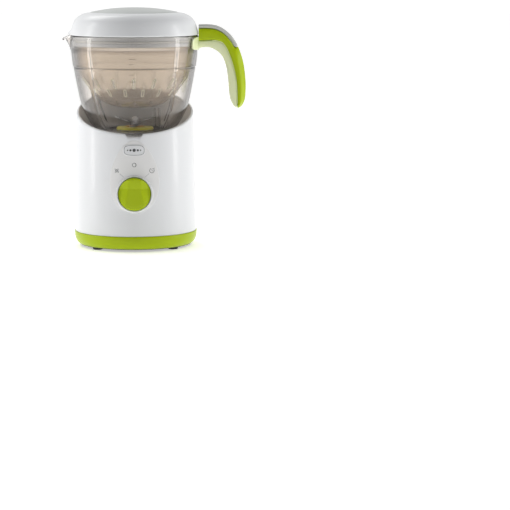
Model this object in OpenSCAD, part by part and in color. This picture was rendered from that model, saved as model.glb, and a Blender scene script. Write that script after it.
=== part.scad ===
// Baby food maker: a steamer and blender jug on a motor base, in millimetres.
// The origin is on the drive axis, level with the soles of the feet. +Z is up, -Y is the
// front with the knob, and +X is the side with the jug's handle.

/* [Base] */
// Radius of the housing where it meets the green base ring
base_r = 71.7; // [71.5:0.1:73]
// Radius of the housing level with the middle of its sloping rim
rim_r = 68.7; // [68.6:0.1:70]
// Height of the housing's bottom edge
ring_top = 18.6; // [17:0.1:20]
// Height of the sloping rim on the drive axis
rim_mid = 159; // [157:0.5:162]
// Slope of the rim, which is low at the front
rim_tilt = 17.7; // [15:0.1:19]
// Height of the cradle floor that the jug hangs over
cradle_floor = 126; // [125.5:0.1:126.5]
// Height of the floor of the well that the jug's foot stands on
well_floor = 116; // [115.8:0.1:116.2]
// Height of the soles' stand-off below the bottom cover
foot_h = 2.6; // [2.4:0.1:3]

/* [Knob] */
// Height of the knob's axis
knob_z = 68.3; // [66:0.1:70]
// Radius of the knob
knob_r = 18.85; // [18:0.05:19]
// Distance from the drive axis to the knob's front face
knob_front = 78.6; // [77:0.1:79]

/* [Jug] */
// Height of the jug's rim
jug_top = 248; // [248:0.1:248.2]
// Thickness of the jug's wall
jug_wall = 2.2; // [2:0.1:2.3]
// Height of the underside of the jug's floor
jug_bottom = 133.2; // [133:0.1:133.4]
// Distance from the drive axis to the spout's tip
spout_reach = 83.5; // [82:0.1:84]
// Width of the handle's grip
grip_w = 25; // [20:1:28]

/* [Basket] */
// Slots in each of the two upper rows of the steam basket
slot_count = 16; // [12:1:18]
// Width of a slot
slot_w = 2.4; // [2:0.1:3]

/* [Blade] */
// Radius that the blade tips sweep
blade_r = 25.5; // [23:0.5:27]

/* [Hidden] */
$fn = 96;
// Clearance between parts of one rigid body that lie face to face
gap = 0.1;
// Radial clearance of a running fit
run = 0.05;

motor_bolt = 21;             // motor screws stand at (+-motor_bolt, +-motor_bolt)
boiler_y = 46;
boiler_r = 17;
boiler_z = [62, 108];
steam_at = [26, 27];         // where the steam nozzle meets the jug
plunger_at = [-21.2, 0];
cover_screw_at = [56.4, 20.5];
foot_at = [44, 40];
gland_z = 32;
seam_drop = 4;               // the cradle starts this far below the housing's rim
cavity_r = 65.5;             // inside radius of the cradle's wall
bezel_r = 21.5;

// ---- shared helpers ----

function lerp(a, b, t) = a + (b - a) * t;
function unit(v) = v / norm(v);

// Radius of the housing's outside at height z
function housing_r(z) = lerp(base_r, rim_r, (z - ring_top) / (rim_mid - ring_top));

// One point of the smooth curve that passes through the points p
function curve_point(p, i, t) =
    let (a = p[max(i - 1, 0)], b = p[i], c = p[i + 1], d = p[min(i + 2, len(p) - 1)])
    b + 0.5 * t * ((c - a) + t * ((2 * a - 5 * b + 4 * c - d) + t * (3 * b - a - 3 * c + d)));

// The smooth curve through p, with n steps between neighbours
function curve(p, n) = concat(
    [for (i = [0 : len(p) - 2]) for (k = [0 : n - 1]) curve_point(p, i, k / n)],
    [p[len(p) - 1]]);

// A curve moved to its left by d
function beside(p, d) = [for (i = [0 : len(p) - 1])
    let (t = unit(p[min(i + 1, len(p) - 1)] - p[max(i - 1, 0)])) p[i] + d * [-t.y, t.x]];

function reversed(p) = [for (i = [len(p) - 1 : -1 : 0]) p[i]];

// Points of an arc about c, from angle a to angle b
function arc(c, r, a, b, n) = [for (k = [0 : n]) c + r * [cos(lerp(a, b, k / n)), sin(lerp(a, b, k / n))]];

module ring(r_out, r_in, z0, z1) {
    difference() {
        translate([0, 0, z0]) cylinder(h = z1 - z0, r = r_out);
        translate([0, 0, z0 - 1]) cylinder(h = z1 - z0 + 2, r = r_in);
    }
}

// Rod along Y from y0 to y1
module rod_y(r, y0, y1) translate([0, y1, 0]) rotate([90, 0, 0]) cylinder(h = y1 - y0, r = r);

// Its outline lies in the XZ plane and is carried from y0 to y1
module plate_y(y0, y1) translate([0, y1, 0]) rotate([90, 0, 0]) linear_extrude(y1 - y0) children();

module at_corners(p) {
    for (x = [-p.x, p.x]) {
        for (y = [-p.y, p.y]) translate([x, y, 0]) children();
    }
}

// Everything above the sloping rim lowered by drop
module above_rim(drop = 0) {
    translate([0, 0, rim_mid - drop]) rotate([rim_tilt, 0, 0]) translate([-150, -150, 0])
        cube([300, 300, 150]);
}

// A layer of the housing's skin, from depth a to depth b measured outwards
module skin(a, b, z0, z1) {
    rotate_extrude() polygon([[housing_r(z0) + a, z0], [housing_r(z0) + b, z0],
        [housing_r(z1) + b, z1], [housing_r(z1) + a, z1]]);
}

// ---- base: shells ----

panel_mid = 88;
panel_h = 42;
panel_w = 28;

// Outline of the egg-shaped front panel, grown by d
module egg(d) {
    polygon([for (a = [0 : 10 : 350])
        [(panel_w + d) * cos(a) * (1 - 0.186 * sin(a)), panel_mid + (panel_h + d) * sin(a)]]);
}

// The notch in the front of the rim
module notch() {
    plate_y(-75, -60) polygon([[-13, 139], [-11.6, 136.6], [-9.6, 133.4], [-7.5, 132],
        [7.5, 132], [9.6, 133.4], [11.6, 136.6], [13, 139]]);
}

module housing() color("white") {
    wall = 2.5;
    thin = 1.1;
    thin_z = 130;
    boss_r = 4.5;
    difference() {
        union() {
            difference() {
                skin(-wall, 0, ring_top, 186);
                skin(-wall - 3, -thin, thin_z, 190);
            }
            // the lip that rounds off the cradle
            difference() {
                skin(-8, -thin / 2, thin_z + 1, 186);
                cavity(thin_z, 190);
                translate([0, 0, rim_mid - seam_drop]) rotate([rim_tilt, 0, 0])
                    translate([-150, -150, -100]) cube([300, 300, 100]);
            }
            at_corners(cover_screw_at) cylinder_from(boss_r, 7.8, 44);
            for (s = [-1, 1]) {
                for (y = [-1, 1]) {
                    translate([s * 61.5 - 3.5, y * cover_screw_at.y - 1, 24.5]) cube([7, 2, 19.5]);
                }
            }
        }
        at_corners(cover_screw_at) cylinder_from(1.6, 5, 40);
        above_rim();
        notch();
        intersection() {
            skin(-0.8, 3, 40, 135);
            plate_y(-80, -50) egg(0.3);
        }
        translate([0, 0, knob_z]) rod_y(bezel_r + gap, -75, -60);
        translate([0, 0, gland_z]) rod_y(5.6, 60, 80);
    }
}

module cylinder_from(r, z0, z1) translate([0, 0, z0]) cylinder(h = z1 - z0, r = r);

// The space that the jug hangs in, between two heights
module cavity(z0, z1) {
    rotate_extrude() polygon([[0, z0], [cavity_r, z0], [cavity_r, 152], [66.2, 170],
        [66.9, 181], [67.2, z1], [0, z1]]);
}

module control_panel() color("whitesmoke") {
    difference() {
        intersection() {
            skin(-0.7, 0.4, 40, 135);
            plate_y(-80, -50) egg(0);
        }
        translate([0, 0, knob_z]) rod_y(bezel_r + gap, -75, -60);
    }
}

module badge() color("gainsboro") {
    w = 24;
    h = 13.2;
    r = 5;
    z = 117.8;
    intersection() {
        skin(0.4, 1.2, 105, 130);
        plate_y(-80, -50) translate([0, z]) union() {
            square([w - 2 * r, h], center = true);
            square([w, h - 2 * r], center = true);
            for (x = [-1, 1]) {
                for (y = [-1, 1]) translate([x * (w / 2 - r), y * (h / 2 - r)]) circle(r = r);
            }
        }
    }
}

module knob_bezel() color("white") {
    translate([0, 0, knob_z]) difference() {
        rod_y(bezel_r, -72.8, -63.5);
        rod_y(knob_r + 0.5, -80, -66);
        rod_y(3.4, -70, -60);
    }
}

module cradle() color("white") {
    skin_gap = 1.1 + gap;
    floor_t = 2.5;
    well_r = 24.5;
    corner = 6;
    wall_top = [[66.2, 170], [66.9, 181], [67.2, 190]];
    inside = concat([[8.1, well_floor], [well_r, well_floor], [well_r, cradle_floor]],
        arc([cavity_r - corner, cradle_floor + corner], corner, -90, 0, 6),
        [[cavity_r, 152]], wall_top);
    outside = [[housing_r(190) - skin_gap, 190], [housing_r(140) - skin_gap, 140],
        [housing_r(132) - skin_gap, 132], [61, cradle_floor - floor_t],
        [well_r + 2, cradle_floor - floor_t], [well_r + 2, well_floor - floor_t],
        [8.1, well_floor - floor_t]];
    difference() {
        rotate_extrude() polygon(concat(inside, outside));
        above_rim(seam_drop + gap);
        translate([0, boiler_y, 0]) cylinder_from(7.6, 120, 130);
        translate([steam_at.x, steam_at.y, 0]) cylinder_from(5.1, 120, 130);
        translate([plunger_at.x, plunger_at.y, 0]) cylinder_from(2.0, 110, 120);
    }
}

module base_ring() color("yellowgreen") {
    rotate_extrude() polygon(concat(
        [[68.9, 24], [67, 24], [67, 16], [69, 16], [69, 5.4], [66.2, 5.4], [66.2, foot_h]],
        arc([66.6, 7.5], 4.9, -90, 0, 6),
        [[71.5, ring_top - 0.2], [68.9, ring_top - 0.2]]));
}

module bottom_cover() color("dimgray") {
    difference() {
        union() {
            cylinder_from(66, foot_h, 5.6);
            cylinder_from(68.8, 5.5, 7.6);
            for (y = [-12, 12]) translate([-59, y - 2, 7]) cube([4, 4, 42.8]);
        }
        at_corners(cover_screw_at) cylinder_from(1.8, 0, 10);
        at_corners(cover_screw_at) cylinder_from(3.4, 0, 4.4);
        at_corners(foot_at) cylinder_from(2.6, 0, 10);
        for (x = [-30 : 7.5 : 30]) translate([x - 1.5, -14, 0]) cube([3, 28, 10]);
    }
}

module rubber_feet() color("black") {
    at_corners(foot_at) {
        cylinder(h = foot_h, r1 = 5.6, r2 = 6.2);
        cylinder_from(2.5, 1, 7);
        cylinder_from(3.6, 7.7, 9);
        cylinder_from(2.5, 6, 8);
    }
}

module cover_screws() color("silver") {
    at_corners(cover_screw_at) {
        cylinder_from(3.2, 2.8, 4.3);
        cylinder_from(1.55, 3, 30);
    }
}

module cord_gland() color("black") {
    translate([0, 0, gland_z]) difference() {
        union() {
            rod_y(8.5, 71.6, 74);
            rod_y(5.5, 60, 72);
            rod_y(7.5, 64, 67.5);
        }
        rod_y(3.3, 55, 80);
    }
}

// ---- base: switch, motor and electrics ----

module rotary_switch() color("black") {
    translate([0, 0, knob_z]) difference() {
        union() {
            translate([-13, -63.3, -13]) cube([26, 12, 26]);
            for (x = [-7, 0, 7]) translate([x - 1.5, -51.5, -10]) cube([3, 7, 0.8]);
            rod_y(6, -63.3, -50);
        }
        rod_y(3 + run, -70, -51.5);
    }
}

stator_z = [42, 80];

module stator_outline() {
    intersection() {
        circle(r = 30);
        square(52, center = true);
    }
}

module motor_stator() color("slategray") {
    difference() {
        translate([0, 0, stator_z[0]]) linear_extrude(stator_z[1] - stator_z[0]) stator_outline();
        cylinder_from(15.2, 30, 90);
        at_corners([motor_bolt, motor_bolt]) cylinder_from(1.55, 30, 90);
    }
}

module motor_windings() color("peru") {
    for (side = [0, 180]) {
        for (z = [stator_z[0] - 6.6, stator_z[1] + 0.1]) {
            rotate([0, 0, side - 50]) translate([0, 0, z]) rotate_extrude(angle = 100)
                translate([17.5, 0]) square([7, 6.5]);
        }
    }
}

// A motor end bracket: four posts, a cross of arms and a boss with the bearing's bore
module end_bracket(plate_z, post_z0, post_z1) {
    difference() {
        union() {
            cylinder_from(13, plate_z, plate_z + 5);
            for (a = [45, 135]) {
                rotate([0, 0, a]) translate([-31, -2.5, plate_z + 0.4]) cube([62, 5, 2.6]);
            }
            at_corners([motor_bolt, motor_bolt]) cylinder_from(3.6, post_z0, post_z1);
        }
        cylinder_from(9 + run, plate_z - 1, plate_z + 6);
        at_corners([motor_bolt, motor_bolt]) cylinder_from(1.55, 20, 105);
    }
}

module upper_bracket() color("silver") end_bracket(94, stator_z[1] + gap, 97.5);
module lower_bracket() color("silver") end_bracket(26, 25.5, stator_z[0] - gap);

module upper_bearing() color("goldenrod") ring(9, 4 + run, 94, 99);
module lower_bearing() color("goldenrod") ring(9, 4 + run, 26, 31);

module motor_dampers() color("black") {
    for (a = [0 : 90 : 270]) {
        rotate([0, 0, a + 45]) translate([22, 0, 0]) {
            cylinder_from(4.5, 7.7, 12);
            cylinder_from(3.2, 11, 22);
            cylinder_from(3.8, 21, 26.3);
        }
    }
}

module brush_holders() color("sienna") {
    for (s = [0, 180]) {
        rotate([0, 0, s]) difference() {
            translate([-4.5, 11, 84]) cube([9, 16, 9.9]);
            translate([-2.6, 0, 86.4]) cube([5.2, 30, 5.2]);
        }
    }
}

module carbon_brushes() color("black") {
    for (s = [0, 180]) {
        rotate([0, 0, s]) translate([-2.5, 8.3, 86.5]) cube([5, 13, 5]);
    }
}

module motor_screws() color("silver") {
    at_corners([motor_bolt, motor_bolt]) {
        cylinder_from(1.5, 25, 99);
        cylinder_from(3, 97.6, 100);
    }
}

module shaft_seal() color("black") ring(8, 4 + run, well_floor - 2.5, well_floor - 0.1);

module boiler() color("lightgray") {
    wall = 2;
    z0 = boiler_z[0];
    z1 = boiler_z[1];
    translate([0, boiler_y, 0]) difference() {
        union() {
            cylinder_from(boiler_r, z0, z1);
            cylinder_from(8.5, z1 - 1, 123.3);
            for (a = [30, 150, 270]) {
                rotate([0, 0, a]) translate([14, 0, 0]) cylinder_from(2.2, 7.7, z0 + 1);
            }
        }
        cylinder_from(boiler_r - wall, z0 + wall, z1 - wall);
        cylinder_from(6, z1 - wall - 1, 130);
        translate([12, -8, 0]) cylinder_from(2.6, z1 - wall - 1, z1 + 5);
    }
}

module boiler_heater() color("darkgray") {
    translate([0, boiler_y, 58.7]) {
        rotate_extrude() translate([8.6, 0]) circle(r = 3);
        for (x = [-8.6, 8.6]) translate([x, 0, -14]) cylinder(h = 13, r = 1.6);
    }
}

module steam_pipe() color("silver") {
    r = 2.5;
    z = 113;
    a = [12, boiler_y - 8];
    run_v = steam_at - a;
    translate([a.x, a.y, 0]) cylinder_from(r, 106.5, z);
    translate([steam_at.x, steam_at.y, 0]) cylinder_from(r, z, 119);
    translate([a.x, a.y, z]) rotate([0, 90, atan2(run_v.y, run_v.x)]) cylinder(h = norm(run_v), r = r);
    for (p = [a, steam_at]) translate([p.x, p.y, z]) sphere(r = r + 0.7);
}

module steam_nozzle() color("white") {
    translate([steam_at.x, steam_at.y, 0]) {
        ring(5, 2.6, 117, 129.5);
        ring(8, 4.5, 120.9, 123.4);
    }
}

module nozzle_seal() color("dimgray") {
    translate([steam_at.x, steam_at.y, 0]) ring(7, 5.1, cradle_floor + gap, 130.6);
}

module thermostat() color("silver") {
    translate([0, boiler_y, 82]) rotate([0, 90, 0]) {
        cylinder_from(7, boiler_r + 0.1, boiler_r + 5);
        for (y = [-3, 3]) translate([-1.5, y - 0.4, boiler_r + 4.5]) cube([3, 0.8, 6]);
    }
}

module thermal_fuse() color("tan") {
    translate([-boiler_r - 3.2, boiler_y, 0]) {
        cylinder_from(3, 76, 90);
        cylinder_from(0.6, 68, 98);
    }
}

module control_board() color("darkgreen") {
    translate([-57.8, -20, 50]) cube([1.6, 40, 50]);
    translate([-56.3, -16, 56]) cube([12, 12, 15]);
    translate([-56.3, 3, 56]) cube([9, 13, 16]);
    translate([-56.3, -8, 86]) rotate([0, 90, 0]) cylinder(h = 11, r = 5);
    translate([-56.3, 6, 82]) cube([4, 9, 12]);
}

module terminal_block() color("ivory") {
    difference() {
        translate([42, -12, 7.7]) cube([11, 24, 12]);
        for (y = [-8, 0, 8]) {
            translate([47.5, y, 0]) cylinder_from(1.8, 12, 25);
            translate([30, y - 2, 9.5]) cube([30, 4, 4]);
        }
    }
}

module microswitch() color("black") {
    translate([-27, -4, 90.5]) cube([11.4, 8, 10.2]);
    translate([-29.4, -4, 90.5]) cube([2.5, 8, 22.9]);
    translate([-29.4, -4, 110.9]) cube([5, 8, 2.5]);
}

// ---- rotor ----

module rotor_core() color("dimgray") {
    slots = 12;
    difference() {
        cylinder_from(14.8, 44, 78);
        cylinder_from(4 + run / 2, 40, 80);
        for (k = [0 : slots - 1]) {
            rotate([0, 0, k * 360 / slots]) translate([10, -0.9, 40]) cube([6, 1.8, 40]);
        }
    }
}

module motor_shaft() color("silver") {
    cylinder_from(4, 24, 122);
}

module commutator() color("peru") {
    bars = 12;
    difference() {
        cylinder_from(8, 83, 93);
        cylinder_from(4 + run / 2, 80, 95);
        for (k = [0 : bars - 1]) {
            rotate([0, 0, k * 360 / bars]) translate([7, -0.25, 85]) cube([3, 0.5, 10]);
        }
    }
}

module cooling_fan() color("gray") {
    vanes = 11;
    difference() {
        union() {
            cylinder_from(24, 31.6, 32.8);
            cylinder_from(7, 31.6, 35.2);
            for (k = [0 : vanes - 1]) {
                rotate([0, 0, k * 360 / vanes]) translate([8, -0.6, 32]) rotate([0, 0, 18])
                    cube([15, 1.2, 3.2]);
            }
        }
        cylinder_from(4 + run / 2, 30, 40);
    }
}

// Six-lobed outline of the drive, grown by d
module star(d) {
    circle(r = 7.6 + d);
    for (a = [0 : 60 : 300]) {
        rotate(a) translate([4, -1.6 - d]) square([6.8 + d, 3.2 + 2 * d]);
    }
}

module drive_coupling() color("white") {
    difference() {
        union() {
            translate([0, 0, 117]) linear_extrude(7) star(0);
            cylinder_from(12.5, 116.9, 117.8);
        }
        cylinder_from(4 + run / 2, 110, 122.2);
    }
}

// ---- knob ----

module knob() color("yellowgreen") {
    translate([0, 0, knob_z]) difference() {
        union() {
            rod_y(knob_r, -knob_front + 3, -66.4);
            translate([0, -knob_front + 3, 0]) rotate([90, 0, 0])
                cylinder(h = 3, r1 = knob_r, r2 = knob_r - 2.6);
        }
        for (x = [-1, 1]) translate([x * 15.4, -knob_front - 8, 0]) sphere(r = 13.4);
        rod_y(3 + run / 2, -72, -60);
    }
}

module switch_spindle() color("silver") {
    translate([0, 0, knob_z]) rod_y(3, -71.8, -53);
}

module filler_cap() color("gainsboro") {
    z0 = cradle_floor + 0.3;
    translate([0, boiler_y, 0]) {
        cylinder_from(5.8, 118, z0 + 1);
        difference() {
            cylinder_from(11, z0, 129.5);
            for (a = [0 : 30 : 330]) {
                rotate([0, 0, a]) translate([12, 0, 0]) cylinder_from(1.6, 120, 135);
            }
        }
        translate([-9, -1.75, 129]) cube([18, 3.5, 3.3]);
    }
}

module interlock_plunger() color("white") {
    translate([plunger_at.x, plunger_at.y, 0]) {
        cylinder_from(1.9, 101, well_floor);
        cylinder_from(4, 106, 107.5);
    }
}

module plunger_spring() color("silver") {
    coils = 5;
    translate([plunger_at.x, plunger_at.y, 101.3]) {
        for (k = [0 : coils - 1]) {
            translate([0, 0, k * 1.05]) rotate_extrude() translate([3.1, 0]) circle(r = 0.4);
        }
    }
}

// ---- jug ----

// Outside of the jug's wall, from the floor's edge to the rim
jug_side = curve([[30, jug_bottom], [38, 133.9], [45, 137], [50.5, 142.2], [54.6, 148.4],
    [58.2, 155], [61, 161], [64.2, 171], [66.5, 181.5], [69.6, 198], [72.2, 214],
    [73.6, 229], [74, jug_top]], 3);

// Inside of the jug's wall
jug_inside = beside(jug_side, jug_wall);
jug_rim_r = 74;
spout_x = 70;

module jug_spout(grow, z0, z1) {
    r = spout_reach - spout_x;
    translate([-spout_x, 0, z0]) cylinder(h = z1 - z0, r1 = 2.2 + grow, r2 = r + grow);
}

module jug() color("lightsteelblue", 0.4) {
    hub_hole = 9.1;
    last = len(jug_inside) - 1;
    floor_z = jug_bottom + jug_wall + 0.2;
    difference() {
        union() {
            difference() {
                union() {
                    rotate_extrude() polygon(concat([[hub_hole, jug_bottom]], jug_side,
                        [[jug_inside[last].x, jug_top]],
                        reversed([for (i = [1 : last - 1]) jug_inside[i]]),
                        [[28, floor_z], [hub_hole, floor_z]]));
                    ring(74.4, 73, jug_top - 3, jug_top);
                    jug_spout(0, 231, jug_top);
                }
                jug_spout(-2, 232, jug_top + 0.2);
                translate([0, 0, 225]) cylinder(h = 24, r1 = 71.2, r2 = 71.8);
            }
            // four inner ribs carry the basket's flange
            intersection() {
                for (a = [45 : 90 : 315]) {
                    rotate([0, 0, a]) translate([40, -1, jug_bottom + 4]) cube([35, 2, 92.3]);
                }
                rotate_extrude() polygon(concat(
                    [for (i = [4 : last]) beside(jug_side, jug_wall / 2)[i]],
                    reversed([for (i = [4 : last]) beside(jug_side, jug_wall + 1.7)[i]])));
            }
        }
        translate([steam_at.x, steam_at.y, 0]) {
            cylinder_from(3.1, 130, 140);
            cylinder_from(4.3, 136.2, 146);
        }
    }
}

// Curves of the handle, in the XZ plane, from the jug outwards and down to the tip
handle_outer = curve([[75.4, 260.4], [88, 260.4], [98.5, 258.4], [108.4, 252.6], [116.7, 243.8],
    [123, 231.5], [128.2, 214], [130.7, 192], [130.2, 176]], 4);
handle_top_edge = curve([[75.4, 255.8], [88, 255.8], [97, 253.9], [105.5, 249], [112.6, 241.6],
    [118, 233.6], [121.5, 235.2]], 4);
handle_mid = curve([[75.4, 241.5], [88, 242.2], [97, 241.6], [104, 238.6], [109, 231], [113, 221.5],
    [117, 208], [119.8, 192], [120.6, 172]], 4);
handle_inner = curve([[75.4, 232.6], [86, 233.6], [95, 230.4], [102.6, 223.6], [107.2, 212.4],
    [109.8, 197], [110.9, 182], [112.6, 171.8], [116.4, 164.4]], 4);

// A plate of the handle between two curves, w wide
module handle_plate(a, b, w) plate_y(-w / 2, w / 2) polygon(concat(a, reversed(b)));

module handle_top() color("whitesmoke") {
    last = len(handle_outer) - 1;
    upper = [for (p = handle_outer) if (p.x < 121) p];
    handle_plate(upper, handle_top_edge, grip_w - 3);
}

module handle_grip() color("yellowgreen") {
    lower = [for (p = handle_outer) if (p.x >= 121 || p.y < 232) p];
    tip = arc([122.8, 172], 8, 25, -108, 8);
    difference() {
        handle_plate(concat([for (p = handle_top_edge) p + [0, -0.1]], lower, tip),
            [for (p = handle_mid) p + [0, 0.1]], grip_w);
        for (x = [84, 94]) translate([x, 0, 0]) cylinder_from(1.6, 225, 251);
        cylinder_from(76.6, 235, 245);
    }
}

module handle_liner() color("honeydew", 0.7) {
    difference() {
        union() {
            handle_plate(handle_mid, handle_inner, grip_w - 3);
            difference() {
                rotate([0, 0, -26]) rotate_extrude(angle = 52) translate([74.2, 230]) square([2.2, 14.8]);
                translate([0, -20, 255]) cube(1);
            }
        }
        for (x = [84, 94]) translate([x, 0, 0]) {
            cylinder_from(1.8, 225, 251);
            cylinder_from(3.4, 225, 236);
        }
    }
}

module handle_screws() color("silver") {
    for (x = [84, 94]) translate([x, 0, 0]) {
        cylinder_from(1.55, 235, 250);
        cylinder_from(3.2, 234.4, 235.9);
    }
}

module hub_collar() color("yellowgreen") {
    rotate_extrude() polygon([[9.2, 136.3], [21.8, 136.3], [21.8, 138.2], [20.6, 139.4],
        [12.5, 139.9], [9.2, 139.9]]);
}

module hub_bearing() color("goldenrod") {
    ring(9, 3 + run, 129.9, 140);
    ring(11, 3 + run, 139.95, 141.4);
}

module hub_seal() color("white") ring(20.5, 9.2, 135.65, 136.25);

module hub_nut() color("white") {
    grips = 18;
    difference() {
        rotate_extrude() polygon([[9.2, jug_bottom - 0.1], [22.5, jug_bottom - 0.1], [22.5, 116.3],
            [20, 116.3], [20, 129.8], [9.2, 129.8]]);
        for (k = [0 : grips - 1]) {
            rotate([0, 0, k * 360 / grips]) translate([23.2, 0, 110]) cylinder(h = 30, r = 1.4);
        }
    }
}

module steam_tube() color("lightsteelblue", 0.5) {
    translate([steam_at.x, steam_at.y, 0]) {
        ring(3, 2, 130.9, 137);
        ring(4.2, 2, 136.3, 160);
    }
}

// ---- blade ----

// A sickle-shaped wing, reaching from the hub to the tip
module wing() {
    linear_extrude(1.2) intersection() {
        difference() {
            translate([12, -9]) circle(r = 17);
            translate([13, -15]) circle(r = 17.5);
        }
        translate([2, -3]) square([blade_r - 2.6, 14]);
    }
}

module blade_set() color("silver") {
    difference() {
        union() {
            cylinder_from(6, 142, 147);
            for (a = [0, 180]) {
                rotate([0, 0, a]) translate([0, -4, 144]) rotate([0, -18, 0]) wing();
                rotate([0, 0, a + 90]) translate([0, -4, 143]) rotate([0, 4, 0]) wing();
            }
        }
        cylinder_from(3 + run / 2, 130, 160);
    }
}

module blade_shaft() color("silver") cylinder_from(3, 124.7, 150);

module blade_nut() color("silver") {
    difference() {
        union() {
            translate([0, 0, 147.1]) cylinder(h = 3.4, r = 5, $fn = 6);
            translate([0, 0, 150.5]) cylinder(h = 1.6, r1 = 4, r2 = 2.4);
        }
        cylinder_from(3 + run / 2, 140, 150.1);
    }
}

module drive_socket() color("dimgray") {
    difference() {
        cylinder_from(15, 118.4, 129.4);
        translate([0, 0, 117.9]) linear_extrude(6.5) star(0.4);
        cylinder_from(13, 118, 118.9);
        cylinder_from(3 + run / 2, 120, 130);
    }
}

// ---- lid and basket ----

module lid() color("white") {
    low = jug_top + 0.2;
    outside = concat([[75, low]], curve([[75, low + 1.6], [73.8, 255], [72, 261.5], [69.2, 266.6],
        [64.6, 270.6], [59, 273.2], [51.4, 274.4]], 3));
    inside = [[0, 270.8], [54, 271.2], [62, 268.6], [67, 264], [69.6, 258.6], [69.2, 252],
        [69, 236], [71, 236], [71, 240], [70, 240.1], [70, 243], [71, 243.1], [71.1, low]];
    rotate_extrude() polygon(concat(outside, [[51.4, 273], [0, 273]], inside));
    difference() {
        translate([-spout_x, 0, low]) cylinder(h = 4.2, r1 = spout_reach - spout_x + 1.2,
            r2 = spout_reach - spout_x - 1);
        cylinder_from(72, low - 1, low + 6);
    }
}

module lid_cap() color("lightgray") {
    rotate_extrude() polygon(concat([[0, 273.1], [51.2, 273.1], [51.2, 274.3]],
        [for (r = [50.4, 44, 36, 27, 18, 9, 0]) [r, 280 - 5.2 * pow(r / 50.4, 2.2)]]));
}

module lid_seal() color("lightgray") {
    rotate_extrude() polygon([[70.1, 240.3], [71.2, 240.3], [71.55, 241.5], [71.2, 242.8], [70.1, 242.8]]);
}

basket_side = curve([[0, 163], [16, 163.6], [30, 166.4], [45, 176], [57.6, 191.6], [63.6, 200],
    [66.2, 208], [67.4, 219], [68, 230]], 3);

module basket_slot(r, z, tilt, len, n, turn) {
    for (k = [0 : n - 1]) {
        rotate([0, 0, turn + k * 360 / n]) translate([r, 0, z]) rotate([0, tilt, 0])
            cube([14, slot_w, len], center = true);
    }
}

module basket() color("palegoldenrod", 0.6) {
    wall = 1.8;
    last = len(basket_side) - 1;
    within = beside(basket_side, wall);
    flange = 230;
    difference() {
        rotate_extrude() polygon(concat(basket_side, [[70.6, flange], [70.6, flange + 2],
            [within[last].x, flange + 2]], reversed([for (i = [1 : last]) within[i]]),
            [[0, 163 + wall]]));
        basket_slot(59, 194, 0, 11, slot_count, 0);
        basket_slot(50.5, 183, 0, 8, slot_count, 180 / slot_count);
        basket_slot(37, 171, 50, 9, 12, 0);
        basket_slot(24, 164, 90, 8, 8, 0);
    }
}

// ---- what the tools draw ----

housing();
control_panel();
badge();
knob_bezel();
cradle();
base_ring();
bottom_cover();
rubber_feet();
cover_screws();
cord_gland();
rotary_switch();
motor_stator();
motor_windings();
upper_bracket();
lower_bracket();
upper_bearing();
lower_bearing();
motor_dampers();
brush_holders();
carbon_brushes();
motor_screws();
shaft_seal();
boiler();
boiler_heater();
steam_pipe();
steam_nozzle();
nozzle_seal();
thermostat();
thermal_fuse();
control_board();
terminal_block();
microswitch();
rotor_core();
motor_shaft();
commutator();
cooling_fan();
drive_coupling();
knob();
switch_spindle();
filler_cap();
interlock_plunger();
plunger_spring();
jug();
handle_grip();
handle_top();
handle_liner();
handle_screws();
hub_collar();
hub_bearing();
hub_seal();
hub_nut();
steam_tube();
blade_set();
blade_shaft();
blade_nut();
drive_socket();
lid();
lid_cap();
lid_seal();
basket();
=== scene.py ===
"""Baby food maker: looks and finishes of the steamer-blender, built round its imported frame.

Sizes inside the classes are millimetres in the part's own frame (+Z up, -Y front, +X handle);
they become metres when a mesh is made.
"""

import logging
import math
from dataclasses import dataclass, field
from enum import Enum
from typing import Any, Callable, Dict, List, Optional, Sequence, Tuple

import bmesh
import bpy
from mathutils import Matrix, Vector


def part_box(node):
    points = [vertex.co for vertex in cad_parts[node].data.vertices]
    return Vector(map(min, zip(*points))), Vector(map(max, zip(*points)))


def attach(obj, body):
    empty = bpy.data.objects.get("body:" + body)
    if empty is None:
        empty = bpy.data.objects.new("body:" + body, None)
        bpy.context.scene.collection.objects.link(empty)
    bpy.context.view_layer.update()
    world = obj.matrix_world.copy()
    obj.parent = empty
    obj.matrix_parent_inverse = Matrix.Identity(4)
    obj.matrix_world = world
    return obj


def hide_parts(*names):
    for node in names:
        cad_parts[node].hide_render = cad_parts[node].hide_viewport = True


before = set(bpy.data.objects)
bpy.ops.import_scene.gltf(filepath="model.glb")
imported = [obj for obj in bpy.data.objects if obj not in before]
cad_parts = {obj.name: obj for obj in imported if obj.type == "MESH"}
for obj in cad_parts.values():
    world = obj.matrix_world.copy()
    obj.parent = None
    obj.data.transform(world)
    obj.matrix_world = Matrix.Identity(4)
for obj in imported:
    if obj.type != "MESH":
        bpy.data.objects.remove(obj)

LOG = logging.getLogger("baby_food_maker")
MM = 0.001
CREASE = 38.0  # degrees past which an edge is shaded sharp
WAVE_STEP = 3.18  # bands that a wave texture draws in a metre at scale 1
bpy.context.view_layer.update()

Point2 = Tuple[float, float]
Point3 = Tuple[float, float, float]
Face = Tuple[int, ...]
Colour = Tuple[float, float, float]


def span(node: str) -> Tuple[Vector, Vector]:
    """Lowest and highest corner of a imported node, in millimetres.

    Args:
        node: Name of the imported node.

    Returns:
        The two corners.
    """
    low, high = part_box(node)
    return low / MM, high / MM


def lerp(a: float, b: float, t: float) -> float:
    """Value between a and b at share t."""
    return a + (b - a) * t


def ease(low: float, high: float, x: float) -> float:
    """Smooth step from 0 at low to 1 at high."""
    t = min(1.0, max(0.0, (x - low) / (high - low)))
    return t * t * (3 - 2 * t)


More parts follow.
